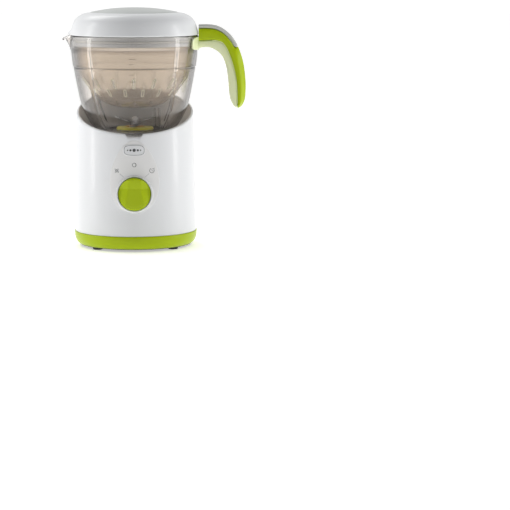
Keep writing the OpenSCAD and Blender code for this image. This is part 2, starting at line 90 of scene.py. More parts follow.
def away(degrees: float, middle: float, period: float = 360.0) -> float:
    """Degrees from an angle to the nearest of those that repeat round the axis.

    Args:
        degrees: The angle.
        middle: One of the repeated angles.
        period: Step from one to the next.

    Returns:
        The difference, never negative.
    """
    return abs((degrees - middle + period / 2) % period - period / 2)


def radius_at(side: Sequence[Point2], z: float) -> float:
    """Radius of a rising outline at a height.

    Args:
        side: The outline's (radius, height) points, lowest first.
        z: The height.

    Returns:
        The radius, which past the top is the last point's.
    """
    for (r0, z0), (r1, z1) in zip(side, side[1:]):
        if z <= z1:
            return lerp(r0, r1, (z - z0) / ((z1 - z0) or 1.0))
    return side[-1][0]


def spline(points: Sequence[Point2], steps: int) -> List[Point2]:
    """Smooth curve through points.

    Args:
        points: Points that the curve passes through.
        steps: Steps between neighbouring points.

    Returns:
        The curve's points, ends included.
    """
    out: List[Point2] = []
    last = len(points) - 1
    for i in range(last):
        a, b = Vector(points[max(i - 1, 0)]), Vector(points[i])
        c, d = Vector(points[i + 1]), Vector(points[min(i + 2, last)])
        for k in range(steps):
            t = k / steps
            p = b + 0.5 * t * ((c - a) + t * ((2 * a - 5 * b + 4 * c - d) + t * (3 * b - a - 3 * c + d)))
            out.append((p.x, p.y))
    out.append(tuple(points[last]))
    return out


def beside(path: Sequence[Point2], distance: float) -> List[Point2]:
    """A path moved to its left by a distance.

    Args:
        path: The path.
        distance: How far; negative moves it to its right.

    Returns:
        The moved path.
    """
    out: List[Point2] = []
    for i, p in enumerate(path):
        a, b = path[max(i - 1, 0)], path[min(i + 1, len(path) - 1)]
        length = math.hypot(b[0] - a[0], b[1] - a[1]) or 1.0
        out.append((p[0] - distance * (b[1] - a[1]) / length, p[1] + distance * (b[0] - a[0]) / length))
    return out


def arc(centre: Point2, radius: float, start: float, end: float, steps: int) -> List[Point2]:
    """Points of an arc.

    Args:
        centre: Its centre.
        radius: Its radius.
        start: First angle in degrees.
        end: Last angle in degrees.
        steps: Number of steps.

    Returns:
        The points, both ends included.
    """
    angles = [math.radians(lerp(start, end, k / steps)) for k in range(steps + 1)]
    return [(centre[0] + radius * math.cos(a), centre[1] + radius * math.sin(a)) for a in angles]


def rounded(corners: Sequence[Tuple[float, float, float]], steps: int = 5) -> List[Point2]:
    """Closed outline whose corners are rounded.

    Args:
        corners: (x, y, radius) of each corner; radius 0 stays sharp.
        steps: Steps in each rounding.

    Returns:
        The outline's points.
    """
    out: List[Point2] = []
    count = len(corners)
    for i, (x, y, radius) in enumerate(corners):
        here = Vector((x, y))
        if radius <= 0:
            out.append((x, y))
            continue
        before = (Vector(corners[i - 1][:2]) - here).normalized()
        after = (Vector(corners[(i + 1) % count][:2]) - here).normalized()
        half = before.angle(after) / 2
        centre = here + (before + after).normalized() * (radius / math.sin(half))
        reach = radius / math.tan(half)
        first, last = here + before * reach - centre, here + after * reach - centre
        for k in range(steps + 1):
            spoke = (first * (1 - k / steps) + last * (k / steps)).normalized() * radius
            out.append((centre.x + spoke.x, centre.y + spoke.y))
    return out


def resample(path: Sequence[Point2], count: int) -> List[Point2]:
    """A path's points spread evenly along its length.

    Args:
        path: The path.
        count: Number of points wanted.

    Returns:
        The new points.
    """
    run = [0.0]
    for a, b in zip(path, path[1:]):
        run.append(run[-1] + math.hypot(b[0] - a[0], b[1] - a[1]))
    out: List[Point2] = []
    k = 0
    for i in range(count):
        goal = run[-1] * i / (count - 1)
        while k < len(path) - 2 and run[k + 1] < goal:
            k += 1
        t = (goal - run[k]) / ((run[k + 1] - run[k]) or 1.0)
        out.append((lerp(path[k][0], path[k + 1][0], t), lerp(path[k][1], path[k + 1][1], t)))
    return out


def grid_faces(rows: int, columns: int, wrap_rows: bool = False) -> List[Face]:
    """Quads of a grid of points stored row by row, each row closed on itself.

    Args:
        rows: Number of rows.
        columns: Points in a row.
        wrap_rows: Whether the last row joins the first.

    Returns:
        The faces.
    """
    out: List[Face] = []
    for i in range(rows if wrap_rows else rows - 1):
        k = (i + 1) % rows
        for j in range(columns):
            m = (j + 1) % columns
            out.append((i * columns + j, i * columns + m, k * columns + m, k * columns + j))
    return out


def strip_faces(n: int) -> List[Face]:
    """Faces of a closed strip made of four lines: two in front, then the same two behind.

    Args:
        n: Points in each line.

    Returns:
        The faces.
    """
    faces: List[Face] = []
    for k in range(n - 1):
        faces += [(k, k + 1, n + k + 1, n + k), (2 * n + k, 3 * n + k, 3 * n + k + 1, 2 * n + k + 1)]
        faces += [(k, 2 * n + k, 2 * n + k + 1, k + 1), (n + k, n + k + 1, 3 * n + k + 1, 3 * n + k)]
    faces += [(0, n, 3 * n, 2 * n), (n - 1, 3 * n - 1, 4 * n - 1, 2 * n - 1)]
    return faces


def solid(name: str, points: Sequence[Point3], faces: Sequence[Face],
          crease: float = CREASE) -> bpy.types.Object:
    """Makes a closed, smooth-shaded piece from millimetre points.

    Args:
        name: The piece's name.
        points: Its points.
        faces: Its faces.
        crease: Angle in degrees past which an edge is sharp.

    Returns:
        The new object, at the origin.
    """
    mesh = bpy.data.meshes.new(name)
    mesh.from_pydata([(p[0] * MM, p[1] * MM, p[2] * MM) for p in points], [], list(faces))
    work = bmesh.new()
    work.from_mesh(mesh)
    bmesh.ops.remove_doubles(work, verts=work.verts, dist=2e-6)
    bmesh.ops.recalc_face_normals(work, faces=work.faces)
    work.to_mesh(mesh)
    work.free()
    piece = bpy.data.objects.new(name, mesh)
    bpy.context.scene.collection.objects.link(piece)
    smooth(piece, crease)
    return piece


def smooth(piece: bpy.types.Object, crease: float = CREASE) -> None:
    """Shades a piece smooth, with edges over the crease angle kept sharp."""
    piece.data.shade_smooth()
    piece.data.set_sharp_from_angle(angle=math.radians(crease))


def baked(piece: bpy.types.Object, crease: float = CREASE) -> bpy.types.Object:
    """Turns a piece's modifiers into a plain mesh.

    Args:
        piece: The piece with its modifiers.
        crease: Angle in degrees past which an edge is sharp.

    Returns:
        The same piece, without modifiers.
    """
    graph = bpy.context.evaluated_depsgraph_get()
    graph.update()
    mesh = bpy.data.meshes.new_from_object(piece.evaluated_get(graph), depsgraph=graph)
    mesh.name = piece.name
    piece.modifiers.clear()
    piece.data = mesh
    smooth(piece, crease)
    return piece


def cut(piece: bpy.types.Object, cutter: bpy.types.Object) -> bpy.types.Object:
    """Takes a cutter's volume out of a piece and removes the cutter.

    Args:
        piece: The piece.
        cutter: The cutter, which is used up.

    Returns:
        The same piece.
    """
    tool = piece.modifiers.new("cut", "BOOLEAN")
    tool.operation = "DIFFERENCE"
    tool.solver = "EXACT"
    tool.object = cutter
    baked(piece)
    bpy.data.objects.remove(cutter)
    return piece


def joined(name: str, parts: Sequence[bpy.types.Object]) -> bpy.types.Object:
    """Joins several small pieces into one.

    Args:
        name: The new piece's name.
        parts: The pieces, which are used up.

    Returns:
        The joined piece.
    """
    work = bmesh.new()
    for part in parts:
        work.from_mesh(part.data)
        bpy.data.objects.remove(part)
    mesh = bpy.data.meshes.new(name)
    work.to_mesh(mesh)
    work.free()
    piece = bpy.data.objects.new(name, mesh)
    bpy.context.scene.collection.objects.link(piece)
    smooth(piece)
    return piece


class Axis(Enum):
    """Direction about which an outline is turned."""

    UP = "up"
    FRONT = "front"


def turned(
    name: str,
    outline: Sequence[Point2],
    segments: int = 144,
    axis: Axis = Axis.UP,
    centre: Point3 = (0.0, 0.0, 0.0),
    closed: bool = True,
) -> bpy.types.Object:
    """Turns an outline of (radius, height) about an axis.

    Args:
        name: The piece's name.
        outline: The outline; about FRONT the height runs along Y.
        segments: Steps round the axis.
        axis: The axis.
        centre: A point of the axis.
        closed: Whether the outline's end joins its start.

    Returns:
        The turned piece.
    """
    points: List[Point3] = []
    for radius, height in outline:
        for k in range(segments):
            a = 2 * math.pi * k / segments
            u, v = radius * math.cos(a), radius * math.sin(a)
            if axis is Axis.UP:
                points.append((centre[0] + u, centre[1] + v, centre[2] + height))
            else:
                points.append((centre[0] + u, centre[1] + height, centre[2] + v))
    return solid(name, points, grid_faces(len(outline), segments, wrap_rows=closed))


# ---- finishes ----


class Maths:
    """A number socket on which Python's operators add Math nodes."""

    def __init__(self, shader: "Shader", socket: Any) -> None:
        """Wraps a socket of a shader's tree.

        Args:
            shader: The shader.
            socket: The socket.
        """
        self.shader = shader
        self.socket = socket

    def _with(self, operation: str, *values: Any) -> "Maths":
        """Adds a Math node on this socket and others.

        Args:
            operation: The Math node's operation.
            values: Numbers or wrapped sockets, in order.

        Returns:
            The wrapped result.
        """
        node = self.shader.add("ShaderNodeMath", {"operation": operation}, dict(enumerate(values)))
        return Maths(self.shader, node.outputs[0])

    def __add__(self, other: Any) -> "Maths":
        """Sum."""
        return self._with("ADD", self, other)

    def __radd__(self, other: Any) -> "Maths":
        """Sum, reflected."""
        return self._with("ADD", other, self)

    def __sub__(self, other: Any) -> "Maths":
        """Difference."""
        return self._with("SUBTRACT", self, other)

    def __rsub__(self, other: Any) -> "Maths":
        """Difference, reflected."""
        return self._with("SUBTRACT", other, self)

    def __mul__(self, other: Any) -> "Maths":
        """Product."""
        return self._with("MULTIPLY", self, other)

    def __rmul__(self, other: Any) -> "Maths":
        """Product, reflected."""
        return self._with("MULTIPLY", other, self)

    def over(self, limit: float) -> "Maths":
        """1 where this is above the limit, else 0."""
        return self._with("GREATER_THAN", self, limit)

    def clamped(self) -> "Maths":
        """This value held between 0 and 1."""
        return self._with("MAXIMUM", self._with("MINIMUM", self, 1.0), 0.0)


class Shader:
    """One material's node tree, with its Principled shader ready to link."""

    def __init__(self, name: str) -> None:
        """Makes the material with a single Principled shader.

        Args:
            name: The material's name.
        """
        self.material = bpy.data.materials.new(name)
        self.material.use_nodes = True
        self.tree = self.material.node_tree
        self.tree.nodes.clear()
        self.output = self.tree.nodes.new("ShaderNodeOutputMaterial")
        self.surface = self.tree.nodes.new("ShaderNodeBsdfPrincipled")
        self.tree.links.new(self.surface.outputs[0], self.output.inputs["Surface"])
        self.place = self.tree.nodes.new("ShaderNodeTexCoord").outputs["Object"]

    def put(self, socket: Any, value: Any) -> None:
        """Links or sets one input socket.

        Args:
            socket: The input.
            value: A wrapped socket, a socket, a colour or a number.
        """
        if isinstance(value, Maths):
            value = value.socket
        if isinstance(value, bpy.types.NodeSocket):
            self.tree.links.new(value, socket)
        elif isinstance(value, (tuple, list)):
            opaque = (1.0,) if len(value) == 3 and socket.type == "RGBA" else ()
            socket.default_value = tuple(value) + opaque
        else:
            socket.default_value = value

    def add(self, kind: str, settings: Dict[str, Any], values: Dict[Any, Any]) -> bpy.types.Node:
        """Adds a node.

        Args:
            kind: The node's type.
            settings: Its own settings, set first.
            values: Its inputs by name or number.

        Returns:
            The node.
        """
        node = self.tree.nodes.new(kind)
        for key, value in settings.items():
            setattr(node, key, value)
        for key, value in values.items():
            self.put(node.inputs[key], value)
        return node

    def stretched(self, scale: Point3) -> Any:
        """Object coordinates scaled unevenly."""
        return self.add("ShaderNodeMapping", {}, {"Vector": self.place, "Scale": scale}).outputs[0]

    def noise(self, scale: float, detail: float = 3.0, vector: Any = None) -> Maths:
        """Noise on the piece, with about scale lumps in a metre.

        Args:
            scale: Lumps in a metre.
            detail: Octaves.
            vector: Coordinates; the piece's own if left out.

        Returns:
            The wrapped noise, around 0.5.
        """
        values = {"Vector": vector or self.place, "Scale": scale, "Detail": detail}
        return Maths(self, self.add("ShaderNodeTexNoise", {}, values).outputs[0])

    def cells(self, scale: float, feature: str = "F1") -> Maths:
        """Distance pattern of cells.

        Args:
            scale: Cells in a metre.
            feature: Which distance of the cells it gives.

        Returns:
            The wrapped distance.
        """
        settings = {"feature": feature}
        values = {"Vector": self.place, "Scale": scale}
        return Maths(self, self.add("ShaderNodeTexVoronoi", settings, values).outputs["Distance"])

    def bands(self, scale: float, direction: str, warp: float = 0.0) -> Maths:
        """Straight waves across the piece.

        Args:
            scale: Waves' scale, about 3 waves for each unit in a metre.
            direction: X, Y or Z.
            warp: How far noise bends them.

        Returns:
            The wrapped waves, 0 to 1.
        """
        settings = {"wave_type": "BANDS", "bands_direction": direction}
        values = {"Vector": self.place, "Scale": scale, "Distortion": warp}
        return Maths(self, self.add("ShaderNodeTexWave", settings, values).outputs["Fac"])

    def blend(self, share: Any, first: Any, second: Any) -> Any:
        """Mixes two colours.

        Args:
            share: How much of the second.
            first: A colour or socket.
            second: A colour or socket.

        Returns:
            The mixed colour's socket.
        """
        node = self.tree.nodes.new("ShaderNodeMix")
        node.data_type = "RGBA"
        self.put(node.inputs[0], share)
        self.put(node.inputs[6], first)
        self.put(node.inputs[7], second)
        return node.outputs[2]

    def relief(self, height: Any, depth: float, strength: float = 1.0) -> None:
        """Bumps the surface.

        Args:
            height: Wrapped height, 0 to 1.
            depth: Depth of the bumps in metres.
            strength: Their strength.
        """
        node = self.add("ShaderNodeBump", {}, {"Height": height, "Distance": depth, "Strength": strength})
        self.put(self.surface.inputs["Normal"], node.outputs[0])

    def set(self, **values: Any) -> None:
        """Sets or links the Principled shader's inputs, with _ for spaces."""
        for key, value in values.items():
            self.put(self.surface.inputs[key.replace("_", " ")], value)


def shade(colour: Colour, factor: float) -> Colour:
    """A colour made lighter or darker by a factor."""
    return tuple(min(1.0, c * factor) for c in colour)


@dataclass(frozen=True)
class Moulding:
    """Moulded plastic: fine orange-peel, faint flow shading, and rubbed patches in its gloss."""

    name: str
    colour: Colour
    roughness: float = 0.22
    coat: float = 0.3
    shadow: float = 0.93
    grain: float = 900.0
    depth: float = 0.00002
    translucence: float = 0.0
    shine: float = 0.5

    def material(self) -> bpy.types.Material:
        """Builds the material.

        Returns:
            The material.
        """
        s = Shader(self.name)
        flow = s.noise(14.0, 2.0, s.stretched((1.0, 1.0, 0.35)))
        specks = s.noise(2600.0, 1.0)
        rubs = s.noise(55.0, 4.0)
        tone = s.blend((flow * 0.8 + specks * 0.2).clamped(), shade(self.colour, self.shadow), self.colour)
        s.set(Base_Color=tone, Roughness=(rubs - 0.5) * 0.16 + self.roughness)
        s.set(Coat_Weight=self.coat, Coat_Roughness=0.06, IOR=1.5, Specular_IOR_Level=self.shine)
        if self.translucence:
            s.set(Subsurface_Weight=self.translucence, Subsurface_Radius=(0.004, 0.004, 0.002))
        s.relief(s.noise(self.grain, 2.0) * 0.7 + flow * 0.3, self.depth)
        return s.material


@dataclass(frozen=True)
class Clear:
    """See-through plastic that lets lamps through, tinted, with hairlines, soft flow waves and, when an edge
    colour is given, painted shade that darkens it towards grazing edges.
    """

    name: str
    tint: Colour
    roughness: float = 0.03
    index: float = 1.46
    lamp_tint: Colour = (0.9, 0.9, 0.9)
    milk: float = 0.0
    # edge and the two fields after it: painted shade, a dark colour blended in where the surface turns
    # edge-on, and where and how fast it comes in
    edge: Optional[Colour] = None
    edge_shade_from: float = 0.42
    edge_shade_rate: float = 2.6
    wave_depth: float = 0.00003

    def material(self) -> bpy.types.Material:
        """Builds the material.

        Returns:
            The material.
        """
        s = Shader(self.name)
        flow = s.noise(20.0, 2.0, s.stretched((1.0, 1.0, 0.4)))
        hair = s.noise(420.0, 3.0, s.stretched((1.0, 1.0, 0.12)))
        tone = s.blend(flow.clamped(), shade(self.tint, 0.96), self.tint)
        # Painted shade: blends the edge colour in as the surface turns away from the view, for dark outlines
        # along the silhouette
        if self.edge:
            facing = Maths(s, s.add("ShaderNodeLayerWeight", {}, {"Blend": 0.5}).outputs["Facing"])
            tone = s.blend(((facing - self.edge_shade_from) * self.edge_shade_rate).clamped(), tone, self.edge)
        s.set(Base_Color=tone, Roughness=(hair - 0.5) * 0.05 + self.roughness)
        s.set(Transmission_Weight=1.0 - self.milk, IOR=self.index)
        s.relief(flow, self.wave_depth, 0.6)
        lamps = s.add("ShaderNodeBsdfTransparent", {}, {"Color": self.lamp_tint})
        rays = s.add("ShaderNodeLightPath", {}, {})
        mixed = s.add("ShaderNodeMixShader", {}, {0: rays.outputs["Is Shadow Ray"],
                                                   1: s.surface.outputs[0], 2: lamps.outputs[0]})
        s.put(s.output.inputs["Surface"], mixed.outputs[0])
        return s.material


@dataclass(frozen=True)
class Metal:
    """Worked metal: drawn or turned lines, smudges, and a few dull spots."""

    name: str
    colour: Colour
    roughness: float = 0.28
    lines: Point3 = (1.0, 1.0, 12.0)
    line_scale: float = 260.0
    depth: float = 0.00002
    dull: Optional[Colour] = None

    def material(self) -> bpy.types.Material:
        """Builds the material.

        Returns:
            The material.
        """
        s = Shader(self.name)
        drawn = s.noise(self.line_scale, 4.0, s.stretched(self.lines))
        smudge = s.noise(60.0, 3.0)
        spots = ((s.noise(120.0, 5.0) - 0.56) * 7.0).clamped()
        tone = s.blend(drawn.clamped(), shade(self.colour, 0.86), self.colour)
        tone = s.blend(spots * 0.5, tone, self.dull or shade(self.colour, 0.6))
        rough = smudge * 0.16 + drawn * 0.12 + self.roughness - 0.1
        s.set(Base_Color=tone, Metallic=1.0 - spots * 0.2, Roughness=rough)
        s.relief(drawn, self.depth)
        return s.material


@dataclass(frozen=True)
class Rubber:
    """Soft rubber or silicone: matt, fine grain, dusty in places."""

    name: str
    colour: Colour
    dust: Colour
    roughness: float = 0.72

    def material(self) -> bpy.types.Material:
        """Builds the material.

        Returns:
            The material.
        """
        s = Shader(self.name)
        dusty = ((s.noise(90.0, 5.0) - 0.5) * 3.0).clamped()
        tone = s.blend(dusty * 0.5, self.colour, self.dust)
        s.set(Base_Color=tone, Roughness=dusty * 0.12 + self.roughness, Sheen_Weight=0.15)
        s.relief(s.noise(1500.0, 3.0), 0.00006)
        return s.material


class Stripe(Enum):
    """Direction of the bands in a layered or wound part."""

    ACROSS = "X"
    DEEP = "Y"
    HIGH = "Z"


@dataclass(frozen=True)
class Layered:
    """Stacked sheets or wound wire: fine bands with grooves between them."""

    name: str
    colour: Colour
    groove: Colour
    stripe: Stripe
    pitch: float
    metallic: float = 1.0
    roughness: float = 0.35
    depth: float = 0.0002

    def material(self) -> bpy.types.Material:
        """Builds the material.

        Returns:
            The material.
        """
        s = Shader(self.name)
        bands = s.bands(1.0 / (WAVE_STEP * self.pitch * MM), self.stripe.value, 0.6)
        stain = s.noise(70.0, 4.0)
        tone = s.blend((bands * 1.3 - 0.1).clamped(), self.groove, self.colour)
        tone = s.blend((stain - 0.45).clamped() * 1.2, tone, shade(self.colour, 0.6))
        s.set(Base_Color=tone, Metallic=self.metallic, Roughness=stain * 0.2 + self.roughness)
        s.relief(bands, self.depth)
        return s.material


@dataclass(frozen=True)
class Laminate:
    """Circuit board: solder mask over woven glass, with tracks and dull spots of solder."""

    name: str
    mask: Colour
    track: Colour
    solder: Colour

    def material(self) -> bpy.types.Material:
        """Builds the material.

        Returns:
            The material.
        """
        s = Shader(self.name)
        weave = s.bands(500.0, "X") * 0.5 + s.bands(500.0, "Z") * 0.5
        tracks = (s.cells(170.0, "DISTANCE_TO_EDGE") * -14.0 + 1.0).clamped()
        pads = (1.0 - s.cells(260.0) * 3.4).clamped().over(0.45)
        tone = s.blend(tracks, self.mask, self.track)
        tone = s.blend(pads, tone, self.solder)
        s.set(Base_Color=tone, Metallic=pads * 0.8, Roughness=0.45 - pads * 0.1, Coat_Weight=0.3)
        s.relief(weave * 0.2 + tracks * 0.5 + pads, 0.0001)
        return s.material


# ---- repeated details, by Geometry Nodes ----


class Pattern:
    """A Geometry Nodes tree with named inputs that becomes a plain mesh."""

    def __init__(self, name: str) -> None:
        """Makes an empty tree with a geometry output.

        Args:
            name: Name of the tree and of its piece.
        """
        self.name = name
        self.tree = bpy.data.node_groups.new(name, "GeometryNodeTree")
        self.tree.interface.new_socket("Geometry", in_out="OUTPUT", socket_type="NodeSocketGeometry")
        self.entry = self.tree.nodes.new("NodeGroupInput")
        self.exit = self.tree.nodes.new("NodeGroupOutput")
        self.sizes: Dict[str, Tuple[str, Any]] = {}

    def size(self, name: str, kind: str, value: Any) -> Any:
        """Adds a named input and its value.

        Args:
            name: Its name.
            kind: Float, Int or Vector.
            value: Its value.

        Returns:
            The input's socket inside the tree.
        """
        item = self.tree.interface.new_socket(name, in_out="INPUT", socket_type=f"NodeSocket{kind}")
        self.sizes[name] = (item.identifier, value)
        return self.entry.outputs[name]

    def node(self, kind: str, settings: Dict[str, Any], values: Dict[Any, Any]) -> bpy.types.Node:
        """Adds a node.

        Args:
            kind: The node's type.
            settings: Its own settings.
            values: Its inputs: sockets to link or plain values.

        Returns:
            The node.
        """
        node = self.tree.nodes.new(kind)
        for key, value in settings.items():
            setattr(node, key, value)
        for key, value in values.items():
            if isinstance(value, bpy.types.NodeSocket):
                self.tree.links.new(value, node.inputs[key])
            else:
                node.inputs[key].default_value = value
        return node

    def grow(self, geometry: Any, material: bpy.types.Material, crease: float = CREASE) -> bpy.types.Object:
        """Ends the tree, runs it and keeps its result as a plain mesh.

        Args:
            geometry: Socket of the finished geometry.
            material: Its material.
            crease: Angle in degrees past which an edge is sharp.

        Returns:
            The new piece.
        """
        real = self.node("GeometryNodeRealizeInstances", {}, {"Geometry": geometry})
        dressed = self.node("GeometryNodeSetMaterial", {},
                            {"Geometry": real.outputs[0], "Material": material})
        self.tree.links.new(dressed.outputs[0], self.exit.inputs[0])
        piece = bpy.data.objects.new(self.name, bpy.data.meshes.new(self.name))
        bpy.context.scene.collection.objects.link(piece)
        tool = piece.modifiers.new("pattern", "NODES")
        tool.node_group = self.tree
        for identifier, value in self.sizes.values():
            tool[identifier] = value
        return baked(piece, crease)


def ring_of(name: str, seed_piece: bpy.types.Object, count: int, start: float, material: bpy.types.Material,
            corner: Optional[Point2] = None) -> bpy.types.Object:
    """Repeats a small piece round the drive axis, or at the four corners of a rectangle about it.

    Args:
        name: The new piece's name.
        seed_piece: The piece to repeat, which is used up.
        count: How many stand round the axis.
        start: Turn of the first, in degrees.
        material: The result's material.
        corner: Half of the rectangle's width and depth in millimetres, where corners are meant.

    Returns:
        The repeated piece.
    """
    tree = Pattern(name)
    source = tree.node("GeometryNodeObjectInfo", {"transform_space": "ORIGINAL"}, {"Object": seed_piece})
    if corner is None:
        number = tree.size("Count", "Int", count)
        turn = tree.size("Start", "Float", math.radians(start))
        line = tree.node("GeometryNodeMeshLine", {"mode": "OFFSET"},
                         {"Count": number, "Offset": (0.0, 0.0, 0.0)})
        place = tree.node("GeometryNodeInputIndex", {}, {})
        step = tree.node("ShaderNodeMath", {"operation": "DIVIDE"}, {0: 2 * math.pi, 1: number})
        angle = tree.node("ShaderNodeMath", {"operation": "MULTIPLY_ADD"},
                          {0: place.outputs[0], 1: step.outputs[0], 2: turn})
        turned_by = tree.node("ShaderNodeCombineXYZ", {}, {"Z": angle.outputs[0]})
        copies = tree.node("GeometryNodeInstanceOnPoints", {},
                           {"Points": line.outputs[0], "Instance": source.outputs["Geometry"],
                            "Rotation": turned_by.outputs[0]})
    else:
        half_x = tree.size("Half width", "Float", corner[0] * MM)
        half_y = tree.size("Half depth", "Float", corner[1] * MM)
        wide = tree.node("ShaderNodeMath", {"operation": "MULTIPLY"}, {0: half_x, 1: 2.0})
        deep = tree.node("ShaderNodeMath", {"operation": "MULTIPLY"}, {0: half_y, 1: 2.0})
        grid = tree.node("GeometryNodeMeshGrid", {}, {"Size X": wide.outputs[0], "Size Y": deep.outputs[0],
                                                       "Vertices X": 2, "Vertices Y": 2})
        copies = tree.node("GeometryNodeInstanceOnPoints", {},
                           {"Points": grid.outputs[0], "Instance": source.outputs["Geometry"]})
    result = tree.grow(copies.outputs[0], material)
    bpy.data.objects.remove(seed_piece)
    return result


# ---- assemblies ----


class Assembly:
    """Shared way to dress a piece and tie it to the frame."""

    def keep(
        self,
        piece: bpy.types.Object,
        body: str,
        slot: str,
        material: Optional[bpy.types.Material],
        stands_for: Sequence[str] = (),
    ) -> bpy.types.Object:
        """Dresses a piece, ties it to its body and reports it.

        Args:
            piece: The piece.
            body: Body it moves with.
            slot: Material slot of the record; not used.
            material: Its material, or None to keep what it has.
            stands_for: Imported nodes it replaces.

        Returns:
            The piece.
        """
        if material is not None:
            piece.data.materials.clear()
            piece.data.materials.append(material)
        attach(piece, body)
        if stands_for:
            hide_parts(*stands_for)
        LOG.info("%s: %d faces, on %s", piece.name, len(piece.data.polygons), body)
        return piece


@dataclass
class Finishes:
    """Every material of the food maker, by the record's slot."""

    made: Dict[str, bpy.types.Material] = field(default_factory=dict)

    def build(self) -> "Finishes":
        """Makes all the materials.

        Returns:
            Itself.
        """
        green: Colour = (0.43, 0.555, 0.004)
        plans: Dict[str, Any] = {
            "white_plastic": Moulding("white_plastic", (0.80, 0.815, 0.835), 0.34, 0.2, 0.985),
            "panel_plastic": Moulding("panel_plastic", (0.80, 0.80, 0.80), 0.24, 0.35, 0.985),
            "badge_plastic": Moulding("badge_plastic", (0.78, 0.79, 0.81), 0.3, 0.2, 0.98),
            "green_plastic": Moulding("green_plastic", green, 0.32, 0.0, 0.93, translucence=0.06, shine=0.2),
            "pale_green_plastic": Moulding("pale_green_plastic", (0.84, 0.90, 0.56), 0.2, 0.4, 0.94,
                                           translucence=0.25),
            "pale_grey_plastic": Moulding("pale_grey_plastic", (0.50, 0.53, 0.515), 0.34, 0.15, 0.96),
            # Last colour: near-black painted shade along the jug's silhouette edges
            "clear_plastic": Clear("clear_plastic", (0.90, 0.875, 0.85), 0.02, 1.46, (0.96, 0.955, 0.95), 0.0,
                                   (0.006, 0.005, 0.005)),
            # Last colour: brown painted shade along the basket's silhouette edges
            "basket_plastic": Clear("basket_plastic", (0.92, 0.85, 0.76), 0.12, 1.4, (0.92, 0.87, 0.81), 0.11,
                                    (0.42, 0.33, 0.24)),
            "collar_plastic": Moulding("collar_plastic", (0.66, 0.62, 0.05), 0.3, 0.2, 0.92),
            "inner_white_plastic": Moulding("inner_white_plastic", (0.74, 0.75, 0.76), 0.35, 0.1, 0.95),
            "dark_plastic": Moulding("dark_plastic", (0.028, 0.029, 0.031), 0.42, 0.1, 0.8, 1600.0, 0.00006),
            "phenolic": Moulding("phenolic", (0.16, 0.05, 0.02), 0.4, 0.2, 0.75, 1300.0, 0.00005),
            "carbon": Rubber("carbon", (0.02, 0.02, 0.021), (0.07, 0.07, 0.07), 0.55),
            "black_rubber": Rubber("black_rubber", (0.018, 0.018, 0.019), (0.09, 0.085, 0.08)),
            "silicone": Rubber("silicone", (0.84, 0.84, 0.82), (0.9, 0.9, 0.88), 0.5),
            "steel": Metal("steel", (0.62, 0.62, 0.63), 0.3),
            "blade_steel": Metal("blade_steel", (0.46, 0.46, 0.47), 0.2, (14.0, 14.0, 1.0), 120.0),
            "core_steel": Layered("core_steel", (0.36, 0.37, 0.39), (0.08, 0.08, 0.09), Stripe.HIGH, 1.0),
            "copper": Layered("copper", (0.78, 0.34, 0.14), (0.25, 0.09, 0.03), Stripe.HIGH, 0.9, 1.0, 0.28,
                              0.0004),
            "bronze": Metal("bronze", (0.62, 0.40, 0.18), 0.36, (1.0, 1.0, 3.0), 700.0),
            "aluminium": Metal("aluminium", (0.66, 0.67, 0.69), 0.42, (1.0, 1.0, 1.0), 900.0, 0.00006),
            "heater_sheath": Metal("heater_sheath", (0.34, 0.33, 0.32), 0.4, (1.0, 1.0, 4.0), 500.0, 0.00003,
                                   (0.2, 0.12, 0.07)),
            "fuse_body": Rubber("fuse_body", (0.50, 0.38, 0.22), (0.66, 0.55, 0.36), 0.6),
            "circuit_board": Laminate("circuit_board", (0.02, 0.11, 0.04), (0.03, 0.2, 0.07),
                                      (0.6, 0.6, 0.58)),
            "strip_plastic": Moulding("strip_plastic", (0.58, 0.59, 0.56), 0.3, 0.2, 0.95),
            # Slot lips: a lighter, opaque copy of the basket plastic, a painted highlight round every slot
            "lip_plastic": Moulding("lip_plastic", (0.93, 0.90, 0.74), 0.25, 0.3, 0.9, translucence=0.3),
            "ink": Moulding("ink", (0.075, 0.08, 0.085), 0.5, 0.0, 0.9),
            "faint_ink": Moulding("faint_ink", (0.34, 0.35, 0.37), 0.5, 0.0, 0.95),
            "level_ink": Moulding("level_ink", (0.25, 0.22, 0.20), 0.5, 0.0, 0.9),
        }
        for slot, plan in plans.items():
            self.made[slot] = plan.material()
        return self


